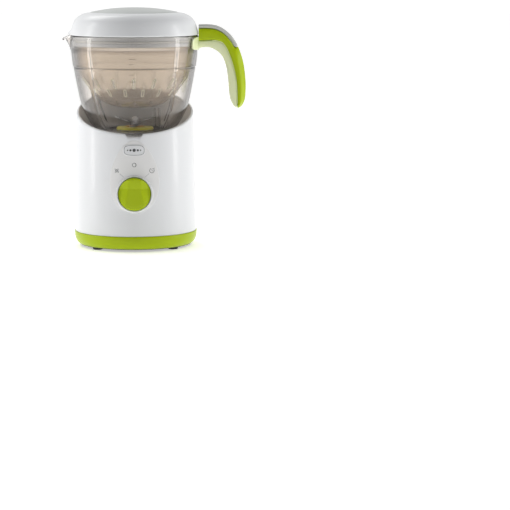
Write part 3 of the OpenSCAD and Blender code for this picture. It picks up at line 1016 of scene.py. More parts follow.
@dataclass
class Shell(Assembly):
    """White housing with its slanting rim, notch, front panel, badge and printed symbols."""

    finishes: Finishes
    foot_r: float = 71.7
    rim_r: float = 68.7
    ring_top: float = 18.6
    rim_mid: float = 159.0
    rim_tilt: float = 17.7
    wall: float = 2.5
    seam_drop: float = 4.0
    notch_floor: float = 132.8
    notch_inner: float = 6.4
    notch_outer: float = 11.4
    knob_z: float = 68.3
    bezel_r: float = 21.5
    panel_mid: float = 88.0
    panel_h: float = 42.0
    panel_w: float = 28.0
    panel_taper: float = 0.186
    panel_rise: float = 0.4
    badge_z: float = 118.9
    badge_w: float = 25.0
    badge_h: float = 13.2
    badge_rise: float = 0.75
    badge_power: float = 3.4
    badge_dots: Tuple[Point2, ...] = ((-7.4, 0.8), (-4.2, 1.25), (0.0, 1.9), (4.2, 1.25), (7.4, 0.8))
    symbol_r: float = 33.6
    symbol_turn: float = 37.0
    ink_over: float = 0.05
    ink_under: float = 0.06
    cradle_side: Tuple[Point2, ...] = (
        (65.5, 0.0), (65.5, 152.0), (66.2, 170.0), (66.9, 181.0), (67.2, 190.0))

    def outer(self, z: float) -> float:
        """Radius of the housing's outside at height z."""
        return lerp(self.foot_r, self.rim_r, (z - self.ring_top) / (self.rim_mid - self.ring_top))

    def hollow(self, z: float) -> float:
        """Radius of the space for the jug at height z."""
        return radius_at(self.cradle_side, z)

    def rim(self, x: float, y: float) -> float:
        """Height of the rim at a place, the notch included.

        Args:
            x: Place across.
            y: Place from front to back.

        Returns:
            The height.
        """
        slant = self.rim_mid + y * math.tan(math.radians(self.rim_tilt))
        if y > 0:
            return slant
        return lerp(self.notch_floor, slant, ease(self.notch_inner, self.notch_outer, abs(x)))

    def skin(self, x: float, z: float, rise: float) -> Point3:
        """Point on the front of the housing, stood off by rise."""
        return (x, -math.sqrt((self.outer(z) + rise) ** 2 - x * x), z)

    def column(self, angle: float) -> List[Point3]:
        """Closed section of the wall at one angle.

        Args:
            angle: Angle about the drive axis, in radians.

        Returns:
            The section's points.
        """
        ux, uy = math.cos(angle), math.sin(angle)
        top = self.rim(self.rim_r * ux, self.rim_r * uy)
        slant = self.rim_mid + self.rim_r * uy * math.tan(math.radians(self.rim_tilt))
        notched = ease(0.3, 3.0, slant - top)
        out_r, in_r = self.outer(top), lerp(self.hollow(top), self.outer(top) - 1.1, notched)
        lip = min(1.5, (out_r - in_r) * 0.55)
        inner = min(0.7, (out_r - in_r) * 0.35)
        path: List[Point2] = []
        for k in range(46):
            z = lerp(self.ring_top, top - lip, k / 45)
            path.append((self.outer(z) - (0.25 if k == 0 else 0.0), z))
        path += arc((out_r - lip, top - lip), lip, 8, 90, 6)
        path += arc((in_r + inner, top - inner), inner, 96, 180, 4)
        seam = min(top - self.seam_drop, top - 1.5)
        path.append((in_r + 0.02, lerp(top - inner, seam, 0.5)))
        path.append((in_r + 0.02, seam))
        path.append((self.outer(seam) - 1.1, seam))
        for z in (min(seam - 2.0, 129.0), 90.0, 60.0, self.ring_top):
            path.append((self.outer(z) - self.wall, z))
        return [(r * ux, r * uy, z) for r, z in path]

    def build(self) -> None:
        """Makes the shell's pieces."""
        self.housing()
        self.panel()
        self.badge()
        self.symbols()
        self.seam_mark()

    def housing(self) -> None:
        """The white wall with its rounded rim and the hole for the knob."""
        angles: List[float] = []
        a = 0.0
        while a < 360.0 - 1e-6:
            angles.append(math.radians(a - 90.0))
            a += 0.5 if a < 16.0 or a >= 344.0 else 2.0
        columns = [self.column(a) for a in angles]
        rows = len(columns[0])
        points = [columns[j][i] for i in range(rows) for j in range(len(columns))]
        piece = solid("housing_shell", points, grid_faces(rows, len(columns), wrap_rows=True))
        cut(piece, self.bore(self.bezel_r - 0.2))
        self.keep(piece, "base", "white_plastic", self.finishes.made["white_plastic"], ["housing"])

    def bore(self, radius: float) -> bpy.types.Object:
        """Cutter along the knob's axis."""
        outline = [(0.0, -80.0), (radius, -80.0), (radius, -55.0), (0.0, -55.0)]
        return turned("cutter", outline, 128, Axis.FRONT, (0.0, 0.0, self.knob_z), closed=False)

    def egg(self, angle: float, inset: float) -> Point2:
        """Point of the egg-shaped panel's edge.

        Args:
            angle: Angle about the panel's middle, in radians.
            inset: How far inside the edge it lies.

        Returns:
            The point.
        """
        wide, high = self.panel_w - inset, self.panel_h - inset
        taper = 1 - self.panel_taper * math.sin(angle)
        return (wide * math.cos(angle) * taper, self.panel_mid + high * math.sin(angle))

    def patch(self, name: str, edge: Callable[[float, float], Point2], centre: Point2, low: float,
              high: float, roll: float, rings: int = 24) -> bpy.types.Object:
        """Thin plate that follows the housing's skin.

        Args:
            name: Its name.
            edge: Gives the outline's point at an angle and an inset.
            centre: Its middle (x, z).
            low: Stand-off of its back.
            high: Stand-off of its front.
            roll: Radius of its rounded edge.
            rings: Rings from the middle to the edge.

        Returns:
            The plate.
        """
        around = 160
        rows: List[List[Point3]] = []

        def ring(inset: float, share: float, rise: float) -> None:
            """Adds one ring, shrunk about the middle.

            Args:
                inset: How far inside the outline it lies.
                share: Its size as a share of the full ring.
                rise: Its stand-off.
            """
            row: List[Point3] = []
            for k in range(around):
                x, z = edge(2 * math.pi * k / around, inset)
                row.append(self.skin(lerp(centre[0], x, share), lerp(centre[1], z, share), rise))
            rows.append(row)

        for k in range(rings):
            ring(roll, k / rings, high)
        for k in range(6):
            a = math.radians(90 - 15 * k)
            ring(roll * (1 - math.cos(a)), 1.0, high - roll * (1 - math.sin(a)))
        ring(0.0, 1.0, low)
        for k in range(rings, -1, -2):
            ring(roll, k / rings, low)
        points = [p for row in rows for p in row]
        return solid(name, points, grid_faces(len(rows), around), 50.0)

    def panel(self) -> None:
        """The egg-shaped front panel with a soft edge."""
        piece = self.patch("front_panel", self.egg, (0.0, self.panel_mid), -0.5, self.panel_rise, 0.38)
        cut(piece, self.bore(self.bezel_r - 0.2))
        self.keep(piece, "base", "panel_plastic", self.finishes.made["panel_plastic"], ["control_panel"])

    def plaque(self, angle: float, inset: float) -> Point2:
        """Point of the badge's rounded outline.

        Args:
            angle: Angle about the badge's middle, in radians.
            inset: How far inside the outline it lies.

        Returns:
            The point.
        """
        half_w, half_h = self.badge_w / 2 - inset, self.badge_h / 2 - inset
        c, s = math.cos(angle), math.sin(angle)
        power = self.badge_power
        reach = (abs(c / half_w) ** power + abs(s / half_h) ** power) ** (-1 / power)
        return (reach * c, self.badge_z + reach * s)

    def badge(self) -> None:
        """The badge, its dark outline and a plain row of dots."""
        rise = self.panel_rise + self.badge_rise
        piece = self.patch("badge_plate", self.plaque, (0.0, self.badge_z), 0.2, rise, 0.5, 10)
        self.keep(piece, "base", "badge_plastic", self.finishes.made["badge_plastic"], ["badge"])
        outline = [self.plaque(2 * math.pi * k / 96, 1.0) for k in range(97)]
        parts = [self.stroke(outline, 0.42, rise)]
        for x, size in self.badge_dots:
            dot = [(x + px, self.badge_z + pz) for px, pz in arc((0.0, 0.0), size, 0, 345, 24)]
            parts.append(self.fill(dot, rise))
        self.keep(joined("badge_print", parts), "base", "dark_plastic", self.finishes.made["ink"])

    def slab(self, left: Sequence[Point2], right: Sequence[Point2], rise: float) -> bpy.types.Object:
        """Printed strip between two lines on the skin.

        Args:
            left: One line's (x, z) points.
            right: The other's, as many.
            rise: Stand-off of the surface that it is printed on.

        Returns:
            The strip.
        """
        points: List[Point3] = []
        for stand in (rise + self.ink_over, rise - self.ink_under):
            for line in (left, right):
                points += [self.skin(x, z, stand) for x, z in line]
        return solid("print", points, strip_faces(len(left)))

    def stroke(self, path: Sequence[Point2], width: float, rise: float) -> bpy.types.Object:
        """Printed line along a path on the skin.

        Args:
            path: The path's (x, z) points.
            width: The line's width.
            rise: Stand-off of the surface that it is printed on.

        Returns:
            The line.
        """
        if math.dist(path[0], path[-1]) < 1e-6:
            path = list(path)[:-1] + [path[0], path[1]]
        return self.slab(beside(path, width / 2), beside(path, -width / 2), rise)

    def fill(self, outline: Sequence[Point2], rise: float) -> bpy.types.Object:
        """Printed patch inside an outline on the skin.

        Args:
            outline: The outline's (x, z) points.
            rise: Stand-off of the surface that it is printed on.

        Returns:
            The patch.
        """
        n = len(outline)
        points = [self.skin(x, z, rise + self.ink_over) for x, z in outline]
        points += [self.skin(x, z, rise - self.ink_under) for x, z in outline]
        faces: List[Face] = [tuple(range(n)), tuple(range(2 * n - 1, n - 1, -1))]
        faces += [(k, (k + 1) % n, n + (k + 1) % n, n + k) for k in range(n)]
        return solid("print", points, faces)

    def symbols(self) -> None:
        """Setting marks: crossed blades, an open ring, and a steam swirl."""
        rise = self.panel_rise
        parts: List[bpy.types.Object] = []
        turn = math.radians(self.symbol_turn)

        def at(angle: float, reach: float) -> Point2:
            """Place at an angle and a reach from the knob's axis."""
            return (reach * math.sin(angle), self.knob_z + reach * math.cos(angle))

        centre = at(0.0, self.symbol_r)
        parts.append(self.stroke(arc(centre, 2.2, 20, 340, 40), 0.5, rise))
        parts.append(self.stroke(arc((centre[0] - 0.5, centre[1]), 2.5, -52, 52, 18), 0.75, rise))
        cx, cz = at(-turn, self.symbol_r)
        for k in range(4):
            a = math.radians(45 + 90 * k)
            tip = (cx + 3.1 * math.cos(a), cz + 3.1 * math.sin(a))
            side = (cx + 1.15 * math.cos(a + 0.9), cz + 1.15 * math.sin(a + 0.9))
            back = (cx + 1.0 * math.cos(a - 0.75), cz + 1.0 * math.sin(a - 0.75))
            bend = (cx + 2.3 * math.cos(a + 0.32), cz + 2.3 * math.sin(a + 0.32))
            parts.append(self.stroke([side, bend, tip, back], 0.42, rise))
        parts.append(self.stroke(arc((cx, cz), 0.8, 0, 360, 16), 0.4, rise))
        cx, cz = at(turn, self.symbol_r)
        parts.append(self.stroke(arc((cx, cz), 2.6, 110, 400, 36), 0.5, rise))
        parts.append(self.stroke([(cx, cz + 2.0), (cx, cz), (cx + 1.5, cz - 0.9)], 0.42, rise))
        hook = [(cx + 3.0, cz + 3.0), (cx + 2.1, cz + 1.8), (cx + 0.9, cz + 2.6)]
        parts.append(self.stroke(hook, 0.45, rise))
        self.keep(joined("setting_symbols", parts), "base", "dark_plastic", self.finishes.made["ink"])
        ticks: List[bpy.types.Object] = []
        for side in (-1, 1):
            line = [at(side * (turn - 0.02 - 0.06 * t), 29.0 - 6.0 * t) for t in (0.0, 0.25, 0.5, 0.75, 1.0)]
            ticks.append(self.stroke(line, 0.4, rise))
        faint = self.finishes.made["faint_ink"]
        self.keep(joined("pointer_lines", ticks), "base", "pale_grey_plastic", faint)

    def seam_mark(self) -> None:
        """Small line-up mark below the notch."""
        parts = [self.fill([(-1.1, 127.4), (1.1, 127.4), (0.0, 129.6)], 0.0)]
        self.keep(joined("line_up_mark", parts), "base", "pale_grey_plastic", self.finishes.made["faint_ink"])


@dataclass
class Foot(Assembly):
    """Green ring at the bottom, the four feet and the bottom screws."""

    finishes: Finishes
    foot_x: float = 44.0
    foot_y: float = 40.0
    sole_r: float = 63.6
    ring_r: float = 72.2
    bend_z: float = 15.2
    screw_x: float = 56.4
    screw_y: float = 20.5

    def build(self) -> None:
        """Makes the green ring, feet and screws."""
        low, high = span("base_ring")
        top = high.z - 5.6
        flank = [(lerp(self.sole_r, self.ring_r, math.sin(math.radians(a))),
                  lerp(self.bend_z, low.z, math.cos(math.radians(a)))) for a in range(0, 91, 6)]
        ledge = [(self.ring_r + 0.2, top - 0.2), (self.ring_r + 0.1, top - 0.05), (71.5, top), (68.9, top)]
        tongue = [(68.9, high.z - 0.3), (68.6, high.z), (67.3, high.z), (67.0, high.z - 0.3), (67.0, 16.0)]
        inside = [(69.0, 16.0), (69.0, 9.4), (66.2, 6.2), (self.sole_r, 4.6)]
        ring = turned("green_ring", flank + ledge + tongue + inside, 192)
        self.keep(ring, "base", "green_plastic", self.finishes.made["green_plastic"], ["base_ring"])
        pad = [(0.0, 0.0), (2.2, 0.0), (2.6, 0.35), (3.4, 0.35), (3.8, 0.0), (5.1, 0.0), (5.6, 0.45)]
        stem = [(6.2, 2.6), (2.5, 2.6), (2.5, 6.4), (3.6, 7.7), (3.6, 8.6), (3.2, 9.0), (0.0, 9.0)]
        seed = turned("foot_seed", pad + stem, 40, closed=False)
        feet = ring_of("foot_pads", seed, 4, 0.0, self.finishes.made["black_rubber"],
                       (self.foot_x, self.foot_y))
        self.keep(feet, "base", "black_rubber", None, ["rubber_feet"])
        screws = ring_of("bottom_screws", self.screw(), 4, 0.0, self.finishes.made["steel"],
                         (self.screw_x, self.screw_y))
        self.keep(screws, "base", "steel", None, ["cover_screws"])

    def screw(self) -> bpy.types.Object:
        """Pan-head screw with a threaded shank, head down.

        Returns:
            The screw.
        """
        head = [(0.0, 3.4), (0.9, 3.3), (1.1, 2.85), (2.0, 2.85)]
        head += [(2.8, 3.0), (3.15, 3.5), (3.2, 4.25), (1.5, 4.3)]
        shank: List[Point2] = [(1.15, 4.6)]
        z = 5.0
        while z < 28.6:
            shank += [(1.12, z), (1.55, z + 0.45), (1.12, z + 0.9)]
            z += 1.35
        shank += [(0.9, 29.2), (0.0, 30.0)]
        return turned("screw_seed", head + shank, 20, closed=False)


@dataclass
class Knob(Assembly):
    """Round green knob with a raised grip, in its white bezel."""

    finishes: Finishes
    axis_z: float = 68.3
    radius: float = 18.85
    back: float = -66.4
    grip_top: float = 6.2
    grip_half: float = 6.6
    grip_flare: float = 0.2
    soft: float = 0.05
    scoop: float = 5.6
    sink: float = 2.4
    face_drop: float = 0.35
    dish: float = 0.9
    roll: float = 1.5
    bezel_r: float = 21.5
    bezel_front: float = -72.8
    recess_r: float = 19.35
    full: float = 12.2

    def build(self) -> None:
        """Makes the bezel and the knob."""
        self.full = self.back - span("knob")[0].y
        outline = rounded([
            (self.bezel_r, self.bezel_front, 0.95), (self.bezel_r, -64.0, 0.0), (3.5, -64.0, 0.0),
            (3.5, -66.0, 0.0), (self.recess_r, -66.0, 0.4), (self.recess_r, self.bezel_front, 0.9)], 7)
        bezel = turned("knob_ring", outline, 160, Axis.FRONT, (0.0, 0.0, self.axis_z))
        self.keep(bezel, "base", "white_plastic", self.finishes.made["white_plastic"], ["knob_bezel"])
        self.keep(self.cap(), "knob", "green_plastic", self.finishes.made["green_plastic"], ["knob"])

    def depth(self, x: float, z: float) -> float:
        """Height of the knob's face over its back.

        Args:
            x: Place across from the axis.
            z: Place up from the axis.

        Returns:
            The height.
        """
        r = math.hypot(x, z) / self.radius
        half = self.grip_half + self.grip_flare * max(0.0, self.grip_top - z)
        across = max(0.0, abs(x) - half) / (self.radius - self.grip_half)
        along = max(0.0, z - self.grip_top) / (self.radius - self.grip_top)
        fall = across - self.soft * (1 - math.exp(-across / self.soft))
        return self.full - self.face_drop - self.sink * (1 - along) - self.dish * r ** 8 - self.scoop * fall

    def cap(self) -> bpy.types.Object:
        """The knob: its shaped face, rounded edge, side and back.

        Returns:
            The piece.
        """
        around, rings = 180, 44
        rows: List[List[Point3]] = []
        flat = self.radius - self.roll
        angles = [2 * math.pi * k / around for k in range(around)]
        for i in range(rings + 1):
            r = flat * i / rings
            rows.append([(r * math.cos(a), self.back - self.depth(r * math.cos(a), r * math.sin(a)),
                          self.axis_z + r * math.sin(a)) for a in angles])
        for i in range(1, 7):
            bend = math.radians(15 * i)
            r = flat + self.roll * math.sin(bend)
            drop = self.roll * (1 - math.cos(bend))
            rows.append([(r * math.cos(a),
                          self.back - self.depth(flat * math.cos(a), flat * math.sin(a)) + drop,
                          self.axis_z + r * math.sin(a)) for a in angles])
        for r, y in ((self.radius, self.back - 0.4), (self.radius - 0.4, self.back), (3.05, self.back),
                     (3.05, -71.9), (0.0, -71.9)):
            rows.append([(r * math.cos(a), y, self.axis_z + r * math.sin(a)) for a in angles])
        points = [p for row in rows for p in row]
        return solid("green_knob", points, grid_faces(len(rows), around), 60.0)


JUG_SIDE: List[Point2] = [
    (30, 133.2), (38, 133.9), (45, 137), (50.5, 142.2), (54.6, 148.4), (58.2, 155), (61, 161),
    (64.2, 171), (66.5, 181.5), (69.6, 198), (72.2, 214), (73.6, 229), (74, 248)]


@dataclass
class Jug(Assembly):
    """Clear jug with its pouring spout, step line, inner ribs and level marks."""

    finishes: Finishes
    side: List[Point2] = field(default_factory=lambda: spline(JUG_SIDE, 5))
    wall: float = 2.2
    floor_z: float = 135.6
    rim_z: float = 248.0
    hub_hole: float = 9.1
    spout_from: float = 226.0
    spout_out: float = 9.3
    spout_half: float = 11.5
    spout_dip: float = 3.2
    dip_from: float = 230.0
    step_z: float = 211.4
    rib_turn: float = 45.0
    rib_step: float = 90.0
    rib_half: float = 1.1
    rib_depth: float = 1.7
    mark_start: float = -94.0
    mark_r: float = 70.0
    ink_over: float = 0.07
    ink_under: float = 0.05

    def build(self) -> None:
        """Makes the jug, its collar and its level marks."""
        self.bowl()
        self.marks()
        collar = rounded([(9.2, 136.35, 0.0), (21.8, 136.35, 0.3), (21.8, 138.2, 0.8), (20.4, 139.4, 0.8),
                          (12.5, 139.9, 0.5), (9.2, 139.9, 0.0)])
        piece = turned("floor_collar", collar, 128)
        self.keep(piece, "jug", "collar_plastic", self.finishes.made["collar_plastic"], ["hub_collar"])

    def radius(self, z: float) -> float:
        """Outer radius at height z, without spout or step."""
        return radius_at(self.side, z)

    def spout(self, angle: float, z: float) -> float:
        """How far the spout carries the wall out.

        Args:
            angle: Angle about the drive axis, in radians.
            z: The height.

        Returns:
            The distance, 0 away from the spout.
        """
        off = away(math.degrees(angle), 180.0)
        rise = max(0.0, (z - self.spout_from) / (self.rim_z - self.spout_from))
        half = self.spout_half * (0.35 + 0.65 * rise)
        if off >= half:
            return 0.0
        t = off / half
        return self.spout_out * rise ** 1.7 * (1 - t) ** 1.35 * (1 + 1.35 * t)

    def section(self, angle: float) -> List[Point3]:
        """Closed section of the jug's wall at one angle.

        Args:
            angle: Angle about the drive axis, in radians.

        Returns:
            The section's points.
        """
        out = self.spout(angle, self.rim_z)
        dip = self.spout_dip * (out / self.spout_out) ** 1.5
        rib_off = away(math.degrees(angle), self.rib_turn, self.rib_step)
        path: List[Point2] = [(self.hub_hole, 133.2), (20.0, 133.2)]
        for r, z in self.side[:-4]:
            path.append((r + self.step(z), z))
        for z in (228.0, 231.0, 234.0, 237.0, 240.0, 242.5, 244.2):
            path.append((self.radius(z) + 0.5 + self.spout(angle, z), z))
        bead = [(74.35 + out, 244.9), (74.75 + out, 245.6), (74.8 + out, 246.6), (74.5 + out, 247.5),
                (73.9 + out, 248.0), (73.0 + out, 248.0), (72.3 + out, 247.7), (71.9 + out, 247.0)]
        path += [(r, z - dip) for r, z in bead]
        rib = 1 - ease(self.rib_half * 0.45, self.rib_half * 1.25, math.radians(rib_off) * 62.0)
        for z in (244.0, 241.0, 237.0, 233.0, 230.0):
            drop = dip * (z - self.dip_from) / (self.rim_z - self.dip_from)
            path.append((self.radius(z) - self.wall + self.spout(angle, z) * 0.98, z - drop))
        inside = beside(self.side, self.wall)
        for r, z in reversed(inside[9:-4]):
            tall = ease(141.0, 147.0, z) * (1 - ease(225.0, 229.0, z))
            path.append((r - self.rib_depth * rib * tall, z))
        for r, z in reversed(inside[1:9]):
            path.append((r, max(z, self.floor_z)))
        path += [(28.0, self.floor_z), (20.0, self.floor_z), (self.hub_hole, self.floor_z)]
        return [(r * math.cos(angle), r * math.sin(angle), z) for r, z in path]

    def step(self, z: float) -> float:
        """Extra outer radius at the step line and above it.

        Args:
            z: The height.

        Returns:
            The extra radius, less than 0 in the groove under the step.
        """
        over = z - self.step_z
        groove = ease(-1.2, -0.2, over) * (1 - ease(-0.2, 0.5, over))
        return 0.55 * ease(-0.5, 0.5, over) - 0.45 * groove

    def bowl(self) -> None:
        """The jug's double-walled body."""
        fine: List[Point2] = []
        for (r0, z0), (r1, z1) in zip(self.side, self.side[1:]):
            fine.append((r0, z0))
            if z0 < self.step_z < z1 or z0 < self.step_z + 2 < z1 or z0 < self.step_z - 2 < z1:
                for over in (-1.2, -0.5, 0.0, 0.5, 1.2):
                    z = self.step_z + over
                    if z0 < z < z1:
                        fine.append((lerp(r0, r1, (z - z0) / (z1 - z0)), z))
        fine.append(self.side[-1])
        self.side = fine
        angles: List[float] = []
        a = 0.0
        while a < 360.0 - 1e-6:
            angles.append(math.radians(a))
            near_rib = away(a, self.rib_turn, self.rib_step) < 2.6
            near_spout = abs(a - 180.0) < 14.0
            a += 0.35 if near_rib else 0.7 if near_spout else 2.0
        columns = [self.section(angle) for angle in angles]
        rows = len(columns[0])
        points = [columns[j][i] for i in range(rows) for j in range(len(columns))]
        piece = solid("clear_jug", points, grid_faces(rows, len(columns), wrap_rows=True), 50.0)
        self.keep(piece, "jug", "clear_plastic", self.finishes.made["clear_plastic"], ["jug"])

    def marks(self) -> None:
        """Level marks on the front of the jug, long and short."""
        rows = ((188.0, 5.0), (197.0, 7.5), (205.0, 5.0), (217.0, 5.0), (223.0, 7.5))
        piece = joined("level_marks", [self.tick(wide, z) for z, wide in rows])
        self.keep(piece, "jug", "dark_plastic", self.finishes.made["level_ink"])

    def tick(self, wide: float, z: float) -> bpy.types.Object:
        """One short printed line on the jug's front.

        Args:
            wide: Its length.
            z: Its height.

        Returns:
            The line.
        """
        turn = math.degrees(wide / self.mark_r)
        points: List[Point3] = []
        count = 7
        for stand in (self.ink_over, -self.ink_under):
            for height in (z - 0.25, z + 0.25):
                for k in range(count):
                    a = math.radians(self.mark_start + turn * k / (count - 1))
                    r = self.radius(height) + self.step(height) + stand
                    points.append((r * math.cos(a), r * math.sin(a), height))
        return solid("tick", points, strip_faces(count))


@dataclass
class Handle(Assembly):
    """Hook handle in three layers, with a saddle on the jug."""

    finishes: Finishes
    width: float = 25.0
    stations: int = 64
    corner: float = 2.6
    saddle_half: float = 26.0
    saddle_up: float = 7.6
    saddle_z: float = 238.4
    saddle_power: float = 4.5
    outer: List[Point2] = field(default_factory=lambda: spline(
        [(75.4, 260.4), (88, 260.4), (98.5, 258.4), (108.4, 252.6), (116.7, 243.8), (123, 231.5),
         (128.2, 214), (130.7, 192), (130.2, 176)], 6))
    seam: List[Point2] = field(default_factory=lambda: spline(
        [(75.4, 255.8), (88, 255.8), (97, 253.9), (105.5, 249), (112.6, 241.6), (118, 233.6),
         (121.5, 235.2)], 6))
    middle: List[Point2] = field(default_factory=lambda: spline(
        [(75.4, 241.5), (88, 242.2), (97, 241.6), (104, 238.6), (109, 231), (113, 221.5), (117, 208),
         (119.8, 192), (120.6, 172)], 6))
    inner: List[Point2] = field(default_factory=lambda: spline(
        [(75.4, 232.6), (86, 233.6), (95, 230.4), (102.6, 223.6), (107.2, 212.4), (109.8, 197), (110.9, 182),
         (112.6, 171.8), (116.4, 164.4)], 6))

    def build(self) -> None:
        """Makes the grip, the top strip, the liner and the saddle."""
        tip = spline([(129.4, 171.6), (127.2, 166.6), (124.4, 163.4), (121.6, 162.0)], 4)
        lower = [p for p in self.outer if p[0] >= 121.4]
        back = resample(self.seam[:-2] + lower + tip, self.stations)
        palm = resample(self.middle + [(120.7, 167.0), (121.2, 162.2)], self.stations)
        grip = self.layer("green_grip", back, palm, self.width, 0.04, 0.5)
        self.keep(grip, "jug", "green_plastic", self.finishes.made["green_plastic"], ["handle_grip"])
        upper = [p for p in self.outer if p[0] < 122.0]
        lower_edge = resample(self.seam[:-1], 48)
        top = self.layer("top_strip", resample(upper, 48), lower_edge, self.width - 1.6, 0.07)
        self.keep(top, "jug", "pale_grey_plastic", self.finishes.made["strip_plastic"], ["handle_top"])
        near = resample(self.middle + [(120.5, 167.0), (120.7, 162.6)], self.stations)
        far = resample(self.inner + [(120.2, 162.2)], self.stations)
        liner = self.layer("inner_shell", near, far, self.width - 2.0, 0.04)
        piece = joined("inner_shell", [liner, self.saddle(), self.bead(-1), self.bead(1)])
        pale = self.finishes.made["pale_green_plastic"]
        self.keep(piece, "jug", "pale_green_plastic", pale, ["handle_liner"])

    def layer(self, name: str, first: Sequence[Point2], second: Sequence[Point2], width: float,
              gap: float, slant: float = 0.0) -> bpy.types.Object:
        """One layer of the handle between two curves.

        Args:
            name: Its name.
            first: Outer curve.
            second: Inner curve, with as many points.
            width: Its width.
            gap: Half of the seam left on each side of it.
            slant: How much narrower its outer face becomes towards the tip.

        Returns:
            The layer.
        """
        around = 56
        rows: List[List[Point3]] = []
        count = len(first)
        last = count - 1.0
        spots = [(0.0, 0.0), (0.0, 0.5), (0.0, 0.94)] + [(float(i), 1.0) for i in range(count)]
        spots += [(last, 0.94), (last, 0.5), (last, 0.0)]
        for index, share in spots:
            a, b = Vector(first[int(index)]), Vector(second[int(index)])
            thick = max((b - a).length, 0.4)
            mid, way = (a + b) / 2, (b - a).normalized() if (b - a).length > 1e-6 else Vector((0, -1))
            half_t = (thick / 2 - gap) * share
            half_w = (width / 2) * share * min(1.0, 0.35 + thick / 6.0)
            corner = min(self.corner, half_t * 0.95) if share > 0 else 0.0
            row: List[Point3] = []
            for k in range(around):
                t = 2 * math.pi * k / around
                c, s = math.cos(t), math.sin(t)
                flat_t, flat_w = max(half_t - corner, 0.0), max(half_w - corner * 1.15, 0.0)
                u = math.copysign(flat_t, c) * min(1.0, abs(c) * 3.0) + corner * c
                v = math.copysign(flat_w, s) * min(1.0, abs(s) * 3.0) + corner * 1.15 * s
                pinch = slant * ease(0.32, 0.62, index / (count - 1))
                v *= 1 - pinch * ease(0.25, -1.0, u / max(half_t, 0.01))
                row.append((mid.x + way.x * u, v, mid.y + way.y * u))
            rows.append(row)
        points = [p for row in rows for p in row]
        return solid(name, points, grid_faces(len(rows), around), 55.0)

    def bead(self, side: int) -> bpy.types.Object:
        """Thin raised edge of the liner along its seam with the grip.

        Args:
            side: -1 for the front, 1 for the back.

        Returns:
            The edge.
        """
        path = resample(self.middle[8:] + [(120.5, 167.0)], 90)
        around = 10
        points: List[Point3] = []
        for (x, z), (ox, oz) in zip(path, beside(path, 1.0)):
            for k in range(around):
                t = 2 * math.pi * k / around
                across, out = 0.55 * math.cos(t) - 0.3, 0.5 * math.sin(t)
                points.append((lerp(x, ox, across), side * (self.width / 2 - 2.2) + out, lerp(z, oz, across)))
        faces = grid_faces(len(path), around)
        if side < 0:
            faces = [tuple(reversed(face)) for face in faces]
        return solid("bead", points, faces, 80.0)

    def saddle(self) -> bpy.types.Object:
        """Curved plate that joins the handle to the jug.

        Returns:
            The plate.
        """
        around, half, power = 96, math.radians(self.saddle_half), self.saddle_power
        rows: List[List[Point3]] = []
        inner_r, outer_r = 74.15, 76.4
        layers = [(outer_r, 0.0), (outer_r, 0.5), (outer_r, 0.8), (outer_r, 0.97), (outer_r - 0.5, 1.0),
                  (inner_r, 1.0), (inner_r, 0.5), (inner_r, 0.0)]
        for r, share in layers:
            row: List[Point3] = []
            for k in range(around):
                t = 2 * math.pi * k / around
                c, s = math.cos(t), math.sin(t)
                reach = (abs(c) ** power + abs(s) ** power) ** (-1 / power)
                turn, up = half * reach * c * share, self.saddle_up * reach * s * share
                row.append((r * math.cos(turn), r * math.sin(turn), self.saddle_z + up))
            rows.append(row)
        points = [p for row in rows for p in row]
        return solid("saddle", points, grid_faces(len(rows), around), 50.0)


